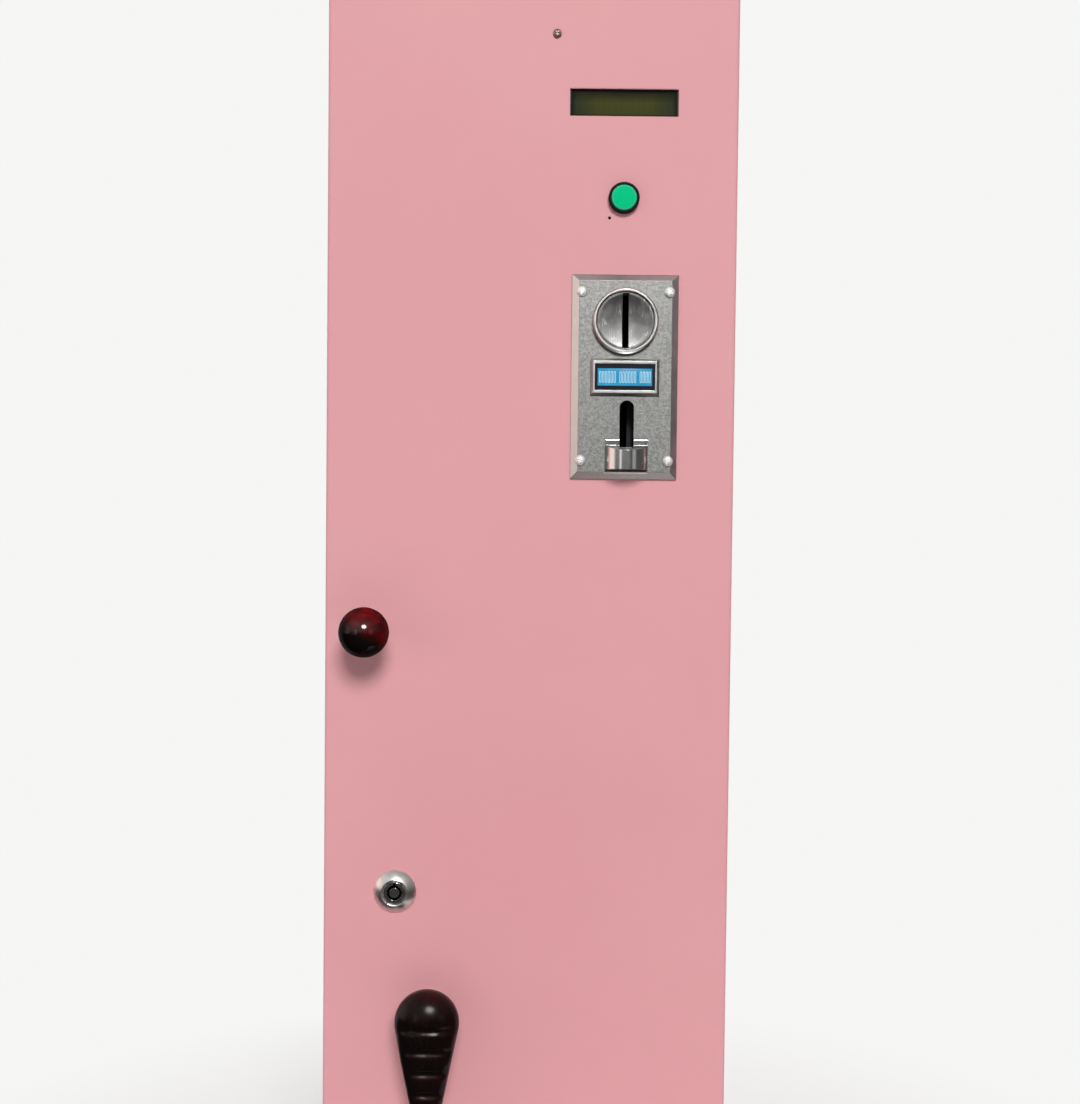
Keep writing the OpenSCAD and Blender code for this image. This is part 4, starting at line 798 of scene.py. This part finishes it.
lay(tree, skin, colour, rough, tracks, 0.00004, 0.5, edges["Normal"])

brushed("blade_brass", stretch=(40.0, 1500.0, 1500.0),
        streak=((0.60, 0.42, 0.16, 1.0), (0.76, 0.57, 0.26, 1.0)),
        bare=(0.86, 0.72, 0.42, 1.0), shine=(0.18, 0.32), wear=(0.0003, 600.0), bump=(0.00001, 0.3))
print("finishes:", len(FINISH), "for", len(set(SLOT_OF.values())), "slots")

# %% [markdown]
# ## Dressing the CAD nodes
# Each node's record says which finish it carries. Three nodes look different in the photograph from the
# rest of their slot, so they have a finish of their own. The meshes stay as they are: only the material
# changes.

# %% Give every node its finish
OWN_FINISH = {"acceptor_screws": "pale_dome", "coin_entry": "satin_entry", "lock_barrel": "satin_lock"}
for name, node in NODES.items():
    node.data.materials.clear()
    node.data.materials.append(FINISH[OWN_FINISH.get(name, SLOT_OF[name])])
print("dressed", len(NODES), "nodes of", len(set(SLOT_OF.values())), "slots")

# %% [markdown]
# ## The handle's grip
# The grip is one moulding: an egg-shaped head that tapers to a rounded tip, with finger grooves across its
# face. The CAD solid is a dome and a leaning cylinder that meet in a crease, while the real one flows. A
# loft of rings from the spine to the outline gives that: every point knows how far it lies from the spine,
# and a super-ellipse turns that distance into height, one way to the front and one way to the back of the
# widest line. The head is round in section and the lever below it flatter. Each groove is a soft trough
# with a bell-shaped section, whose lower slope is just steep enough to catch the light.

# %% Grip: outline and height
HUB = Vector((-58.6, -95.0, 235.5))
HEAD, TIP, REACH = 19.6, 7.4, 61.5
REAR, WIDEST, CROWN, LEAN = 12.0, 23.0, 36.0, 0.105
GROOVE_FIRST, GROOVE_PITCH, GROOVE_COUNT = -1.2, 13.4, 5
GROOVE_DEEP, GROOVE_WIDE = 1.6, 2.2
SIDE_STEPS, HEAD_STEPS, TIP_STEPS, RING_STEPS, NECK_STEPS = 112, 48, 28, 30, 64
GROOVES = [GROOVE_FIRST - GROOVE_PITCH * k for k in range(GROOVE_COUNT)]


def grip_outline():
    """Pairs of a spine point's distance below the hub and the outline's offset from it, around the grip."""
    slant = math.asin((HEAD - TIP) / REACH)
    side = Vector((math.cos(slant), -math.sin(slant)))
    rim = []
    for k in range(HEAD_STEPS):
        turn = -slant + (math.pi + 2 * slant) * k / HEAD_STEPS
        rim.append((0.0, Vector((math.cos(turn), math.sin(turn))) * HEAD))
    for k in range(SIDE_STEPS):
        t = k / SIDE_STEPS
        rim.append((REACH * t, Vector((-side.x, side.y)) * (HEAD + (TIP - HEAD) * t)))
    for k in range(TIP_STEPS):
        turn = math.pi + slant + (math.pi - 2 * slant) * k / TIP_STEPS
        rim.append((REACH, Vector((math.cos(turn), math.sin(turn))) * TIP))
    for k in range(SIDE_STEPS):
        t = 1 - k / SIDE_STEPS
        rim.append((REACH * t, side * (HEAD + (TIP - HEAD) * t)))
    return rim


def bulge(share, power):
    return max(0.0, 1 - share ** power) ** (1 / power)


def front(below, share):
    """How far the grip's face stands out of the door, by the distance below the hub and from the spine."""
    middle = WIDEST - 0.5 * LEAN * below
    power = 2.0 + 2.0 * min(1.0, below / HEAD)
    return middle + (CROWN - LEAN * below - middle) * bulge(share, power)


def back(below, share):
    middle = WIDEST - 0.5 * LEAN * below
    return middle - (middle - REAR) * bulge(share, 2.8)


def grooved(out, z, share):
    """The same face with its finger grooves, which run out towards the sides."""
    for cut in GROOVES:
        out -= GROOVE_DEEP * (1 - share * share) * math.exp(-((z - cut) / GROOVE_WIDE) ** 2)
    return out


print("grip outline:", len(grip_outline()), "points,", len(GROOVES), "grooves")


# %% Grip: mesh
def mesh_piece(name, bm, finishes, body, crease=26):
    """A new piece from bmesh data in millimetres, with its finishes, on a body. Edges that turn by more than
    the crease, in degrees, stay sharp."""
    bmesh.ops.recalc_face_normals(bm, faces=bm.faces[:])
    bmesh.ops.scale(bm, vec=(MM, MM, MM), verts=bm.verts[:])
    mesh = bpy.data.meshes.new(name)
    bm.to_mesh(mesh)
    bm.free()
    mesh.shade_smooth()
    mesh.set_sharp_from_angle(angle=math.radians(crease))
    for finish in finishes:
        mesh.materials.append(FINISH[finish])
    piece = show(name, mesh)
    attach(piece, body)
    print(name, "on", body, "with", len(mesh.polygons), "faces")
    return piece


def bridge(bm, first, second):
    count = len(first)
    for k in range(count):
        face = (first[k], first[(k + 1) % count], second[(k + 1) % count], second[k])
        bm.faces.new(face)


bm = bmesh.new()
rim = grip_outline()
shares = [math.sin(math.pi / 2 * k / RING_STEPS) for k in range(RING_STEPS + 1)]
rings = []
for share in shares:
    ring = []
    for below, offset in rim:
        x, z = offset.x * share, offset.y * share - below
        ring.append(bm.verts.new(HUB + Vector((x, -grooved(front(below, share), z, share), z))))
    rings.append(ring)
for share in reversed(shares[:-1]):
    points = [Vector((o.x * share, -back(b, share), o.y * share - b)) for b, o in rim]
    rings.append([bm.verts.new(HUB + point) for point in points])
for first, second in zip(rings, rings[1:]):
    bridge(bm, first, second)
bmesh.ops.remove_doubles(bm, verts=bm.verts[:], dist=0.004)
NECK = [(11.8, 13.5), (11.8, 5.0), (11.3, 4.2), (10.5, 4.0), (5.1, 4.0), (5.1, 13.5)]
loops = []
for radius, out in NECK:
    turns = [2 * math.pi * k / NECK_STEPS for k in range(NECK_STEPS)]
    points = [Vector((radius * math.cos(a), -out, radius * math.sin(a))) for a in turns]
    loops.append([bm.verts.new(HUB + point) for point in points])
for first, second in zip(loops, loops[1:] + loops[:1]):
    bridge(bm, first, second)
grip = mesh_piece("handle_grip", bm, ["handle_resin"], "latch", 50)
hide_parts("turn_handle")

# %% [markdown]
# ## Small parts
# The lit panel shows from the front, and with the door open the electronics show. They are built of many
# small parts, and each part is easiest to describe on the face that carries it: x across, y up, z out of
# the face. facing() makes the matrix of such a face, and the builders below add a box, a turned shape, a
# slotted screw, a chip or a plug socket to it.

# %% Builders on a face
X_WAY, Y_WAY, Z_WAY = Vector((1, 0, 0)), Vector((0, 1, 0)), Vector((0, 0, 1))


def facing(origin, across, up):
    """The matrix of a face from its origin, the way its x runs and the way its y runs."""
    return Matrix.Translation(origin) @ Matrix((across, up, across.cross(up))).transposed().to_4x4()


def paint_new(bm, old, finish):
    """Gives one finish to the faces that weren't there before."""
    for side in set(bm.faces) - old:
        side.material_index = finish


def box(bm, face, low, high, finish, ease=0.0):
    old = set(bm.faces)
    corners = [[low[0], high[0]], [low[1], high[1]], [low[2], high[2]]]
    made = bmesh.ops.create_cube(bm, size=1.0)["verts"]
    for vert in made:
        spot = [corners[axis][1 if vert.co[axis] > 0 else 0] for axis in range(3)]
        vert.co = face @ Vector(spot)
    if ease:
        edges = list({e for v in made for e in v.link_edges})
        bmesh.ops.bevel(bm, geom=edges, offset=ease, segments=2, profile=0.5, affect="EDGES")
    paint_new(bm, old, finish)


def turned(bm, face, x, y, profile, finish, count=24):
    """A shape turned round the face's z, from pairs of a radius and a height."""
    loops = []
    turns = [2 * math.pi * k / count for k in range(count)]
    for radius, out in profile:
        points = [Vector((x + radius * math.cos(a), y + radius * math.sin(a), out)) for a in turns]
        loops.append([bm.verts.new(face @ point) for point in points])
    old = set(bm.faces)
    for first, second in zip(loops, loops[1:]):
        bridge(bm, first, second)
    bm.faces.new(loops[0])
    bm.faces.new(loops[-1])
    paint_new(bm, old, finish)


MOON_STEPS = 12


def slotted(bm, face, x, y, out, radius, finish, turn=0.5):
    """A slotted screw head: a disc with two half-moons on it, and the gap between them is the slot."""
    turned(bm, face, x, y, [(radius, out), (radius, out + 0.35 * radius)], finish)
    half = math.asin(0.16)
    for side in (0, math.pi):
        moon = []
        for k in range(MOON_STEPS + 1):
            a = side + half + (math.pi - 2 * half) * k / MOON_STEPS
            moon.append((0.94 * radius * math.cos(a + turn), 0.94 * radius * math.sin(a + turn)))
        rings = []
        for lift in (0.3, 0.68):
            rings.append([bm.verts.new(face @ Vector((x + u, y + v, out + lift * radius))) for u, v in moon])
        old = set(bm.faces)
        bridge(bm, *rings)
        bm.faces.new(rings[0])
        bm.faces.new(rings[1])
        paint_new(bm, old, finish)


def chip(bm, face, x, y, wide, high, out, body, legs, per_side):
    """A flat chip with legs on its two long sides."""
    box(bm, face, (x, y, out + 0.15), (x + wide, y + high, out + 1.9), body, 0.2)
    for k in range(per_side):
        at = x + wide * (k + 0.5) / per_side
        for side, foot in ((y, -1.1), (y + high, 1.1)):
            ends = sorted((side, side + foot))
            box(bm, face, (at - 0.22, ends[0], out), (at + 0.22, ends[1], out + 0.28), legs)
            near = sorted((side, side + foot * 0.3))
            box(bm, face, (at - 0.22, near[0], out + 0.28), (at + 0.22, near[1], out + 1.05), legs)


def chips_of_ceramic(bm, face, spots, out, body, ends):
    """Tiny two-ended parts: a dark middle and a bright cap at each end."""
    for x, y in spots:
        box(bm, face, (x - 0.55, y - 0.6, out), (x + 0.55, y + 0.6, out + 0.55), body)
        for side in (-1.05, 0.55):
            box(bm, face, (x + side, y - 0.6, out), (x + side + 0.5, y + 0.6, out + 0.6), ends)


SOCKET_HIGH, SOCKET_WALL, PIN_PITCH = 8, 0.9, 2.5


def plug_socket(bm, face, x, y, wide, tall, floor, half_pin, body, pins):
    """A socket of four thin walls on a base, with seven pins in it."""
    end, top = x + wide, y + SOCKET_HIGH
    box(bm, face, (x, y, 0), (end, top, floor), body, 0.2)
    for low, high in (((x, y), (end, y + SOCKET_WALL)), ((x, top - SOCKET_WALL), (end, top)),
                      ((x, y), (x + SOCKET_WALL, top)), ((end - SOCKET_WALL, y), (end, top))):
        box(bm, face, low + (0,), high + (tall,), body, 0.15)
    for k in range(-3, 4):
        at, middle = x + wide / 2 + PIN_PITCH * k, y + SOCKET_HIGH / 2
        low = (at - half_pin, middle - half_pin, floor - 0.1)
        box(bm, face, low, (at + half_pin, middle + half_pin, tall - 0.8), pins, 0.1)


print("builders ready")

# %% [markdown]
# ## The small display's lit panel
# Behind the black window a blue panel glows, with pale figures on it. The figures here are plain zeros in
# three groups. Each is a flat ring in the shape of a tall racetrack, which reads as a zero at any size.

# %% Lit panel and zeros
def glowing(name, base, dim, bright, strength):
    tree, skin = blank(name, 0.25, 0.0, Base_Color=base, Emission_Strength=strength, Specular_IOR_Level=0.1)
    cloud = use(tree, "Patches", Scale=160.0, Low=0.3, High=0.7)
    lay(tree, skin, None, span(tree, cloud["Mask"], 0.2, 0.3))
    feed(tree, skin.inputs["Emission Color"], tint(tree, cloud["Mask"], dim, bright))


glowing("lit_blue", screen(8, 40, 62), screen(44, 146, 196), screen(66, 172, 214), 0.85)
glowing("lit_pale", screen(60, 74, 80), screen(186, 226, 240), screen(206, 238, 248), 0.92)

GLASS = facing(Vector((57.2, -101.6, 627.0)), X_WAY, Z_WAY)
PANEL_HALF = (16.5, 5.2)
PLACES, GAPS, ZERO_PITCH, ZERO_STEPS = 18, (6, 13), 1.76, 20
ZERO_LOOPS = ((0.66, 3.5, 0.12), (0.66, 3.5, 0.17), (0.30, 3.1, 0.17), (0.30, 3.1, 0.12))

bm = bmesh.new()
box(bm, GLASS, (-PANEL_HALF[0], -PANEL_HALF[1], -0.02), PANEL_HALF + (0.12,), 0, 0.04)
mesh_piece("credit_panel", bm, ["lit_blue"], "door")

bm = bmesh.new()
for k in [k for k in range(PLACES) if k not in GAPS]:
    middle = (k - (PLACES - 1) / 2) * ZERO_PITCH
    loops = []
    for half, lift, out in ZERO_LOOPS:
        loop = []
        for j in range(ZERO_STEPS):
            a = 2 * math.pi * j / ZERO_STEPS
            y = math.copysign(lift - half, math.sin(a)) + half * math.sin(a)
            loop.append(bm.verts.new(GLASS @ Vector((middle + half * math.cos(a), y, out))))
        loops.append(loop)
    for first, second in zip(loops, loops[1:] + loops[:1]):
        bridge(bm, first, second)
mesh_piece("credit_zeros", bm, ["lit_pale"], "door")

# %% [markdown]
# ### The control board
# The board carries three relays, three plug sockets with their pins, the controller chip, a crystal, two
# tall capacitors and a small one, a row of screw terminals, three indicator lamps and two columns of tiny
# ceramic parts. They take the place of the plain blocks in the solid model and keep to the same outlines.

# %% Control board parts
BOARD = facing(Vector((52.2, 83.8, 640.0)), X_WAY, Z_WAY)
KINDS = ["black_plastic", "nylon", "bright_steel", "case_aluminium", "grey_plastic", "red_rocker",
         "green_cap"]
BLACK, WHITE, STEEL, ALLOY, GREY, RED, GREEN = range(len(KINDS))
SLEEVE = [(4.3, 0), (5, 0.5), (5, 2.0), (4.7, 2.4), (5, 2.8), (5, 13.3), (4.7, 13.9), (4.3, 14), (4.2, 13.7)]
SLEEVE_TOP = [(4.2, 13.6), (4.1, 13.75), (2.6, 13.8), (2.5, 13.65), (0.3, 13.65)]

bm = bmesh.new()
for k in range(3):
    y = 10 + 22 * k
    box(bm, BOARD, (4, y, 0), (19, y + 19, 14.6), BLACK, 0.5)
    box(bm, BOARD, (5.4, y + 1.4, 14.4), (17.6, y + 17.6, 15.0), BLACK, 0.25)
    plug_socket(bm, BOARD, 33, 10 + 10 * k, 20, 9, 2.6, 0.32, WHITE, STEEL)
chip(bm, BOARD, 36, 45.4, 14, 11.2, 0.0, BLACK, STEEL, 11)
for x in (37, 49):
    turned(bm, BOARD, x, 67, SLEEVE, BLACK)
    turned(bm, BOARD, x, 67, SLEEVE_TOP, ALLOY)
turned(bm, BOARD, 27, 64, [(2.4, 0), (2.4, 3.2), (2.1, 3.5)], ALLOY)
box(bm, BOARD, (24.6, 54.4, 0), (29.4, 61.2, 3.4), ALLOY, 0.9)
box(bm, BOARD, (10, 80, 0), (50, 87, 8.6), GREY, 0.3)
for k in range(9):
    box(bm, BOARD, (10 + 4.93 * k, 80, 8.4), (10.56 + 4.93 * k, 87, 11), GREY, 0.12)
for k in range(8):
    slotted(bm, BOARD, 12.74 + 4.93 * k, 83.5, 8.6, 1.75, STEEL, 0.4 + 0.7 * k)
chips_of_ceramic(bm, BOARD, [(24 + 3.4 * (k % 2), 12 + 4.6 * (k // 2)) for k in range(16)], 0.0, BLACK, STEEL)
for at, kind in ((22.6, RED), (26.6, GREEN), (30.6, GREEN)):
    turned(bm, BOARD, at, 74, [(1.5, 0), (1.5, 1.6), (1.3, 2.4), (0.8, 2.9), (0.2, 3.05)], kind, 16)
board_kit = mesh_piece("board_kit", bm, KINDS, "cabinet")
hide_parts("board_parts")

# %% [markdown]
# ### Supply, motor and the boards on the door
# A screw and a clamp plate for each way of the supply's terminals, screws on its case, two tabs on the
# motor, the parts on the back of the text display, the acceptor's side board with its three setting keys,
# and the screws and the plug socket on its back.

# %% Supply and motor
bm = bmesh.new()
WAYS = facing(Vector((-103.8, 15.8, 421.0)), Y_WAY, Z_WAY)
for k in range(7):
    at = 4.5 + 9.0 * k
    box(bm, WAYS, (at - 3.1, 0.4, 0), (at + 3.1, 10.2, 0.8), STEEL, 0.15)
    slotted(bm, WAYS, at, 6.0, 0.8, 2.5, STEEL, 0.3 + 0.9 * k)
CASE = facing(Vector((-87.8, 5.8, 420.0)), Y_WAY, Z_WAY)
for x, y in ((5, 21), (73, 21), (5, 105.5), (73, 105.5)):
    slotted(bm, CASE, x, y, 0.0, 2.2, STEEL, 0.2 * x)
mesh_piece("supply_screws", bm, KINDS, "cabinet")

bm = bmesh.new()
CAN = facing(Vector((58.25, 18.6, 200.0)), X_WAY, -Y_WAY)
for x in (-10, 10):
    box(bm, CAN, (x - 2.4, -1.6, 0), (x + 2.4, 1.6, 0.8), BLACK, 0.15)
    box(bm, CAN, (x - 1.4, -0.25, 0.7), (x + 1.4, 0.25, 5.2), STEEL, 0.1)
for y in (-11, 11):
    turned(bm, CAN, 0, y, [(2.4, 0), (2.4, 0.9), (2.0, 1.3), (0.4, 1.35)], STEEL)
mesh_piece("motor_tabs", bm, KINDS, "cabinet")

# %% Parts on the door's boards
bm = bmesh.new()
BACK = facing(Vector((95.2, -84.8, 776.0)), -X_WAY, Z_WAY)
for x in (24, 54):
    turned(bm, BACK, x, 17, [(7.4, 0), (7.1, 0.5), (5.8, 1.1), (3.4, 1.5), (0.4, 1.65)], BLACK, 32)
for k in range(16):
    turned(bm, BACK, 12 + 2.54 * k, 32.6, [(0.9, 0), (0.75, 0.4), (0.35, 0.9), (0.2, 1.2)], STEEL, 12)
chips_of_ceramic(bm, BACK, [(34 + 2.9 * k, 27 - 21 * (k % 2)) for k in range(5)], 0.0, BLACK, STEEL)
box(bm, BACK, (64, 25, 0), (69, 30, 3.2), WHITE, 0.2)
slotted(bm, BACK, 66.5, 27.5, 3.2, 1.6, STEEL)
mesh_piece("display_back", bm, KINDS, "door")

bm = bmesh.new()
SIDE = facing(Vector((31.2, -49.6, 598.3)), -Y_WAY, Z_WAY)
BOARD_GREEN = len(KINDS)
box(bm, SIDE, (0, 0, 0), (30.8, 58.4, 1.2), BOARD_GREEN)
chip(bm, SIDE, 9, 36, 13, 9, 1.2, BLACK, STEEL, 10)
for y in (9, 18, 27):
    box(bm, SIDE, (4, y - 3, 1.2), (10, y + 3, 2.9), GREY, 0.2)
    turned(bm, SIDE, 7, y, [(1.7, 2.9), (1.7, 3.6), (1.5, 3.8)], BLACK, 16)
chips_of_ceramic(bm, SIDE, [(15 + 3.6 * (k % 4), 8 + 6.2 * (k // 4)) for k in range(12)], 1.2, BLACK, STEEL)
box(bm, SIDE, (6, 50.5, 1.2), (26, 55.5, 2.2), WHITE, 0.15)
for k in range(7):
    box(bm, SIDE, (8.2 + 2.5 * k, 52.7, 2.1), (8.8 + 2.5 * k, 53.3, 3.9), STEEL)
REAR_FACE = facing(Vector((87.2, -39.0, 567.5)), -X_WAY, Z_WAY)
for x, y in ((5, 5), (55, 5), (5, 115), (55, 115)):
    slotted(bm, REAR_FACE, x, y, 0.0, 2.4, STEEL, 0.1 * (x + y))
plug_socket(bm, REAR_FACE, 8, 84, 22, 8, 2.4, 0.3, WHITE, STEEL)
mesh_piece("acceptor_kit", bm, KINDS + ["board_green"], "door")
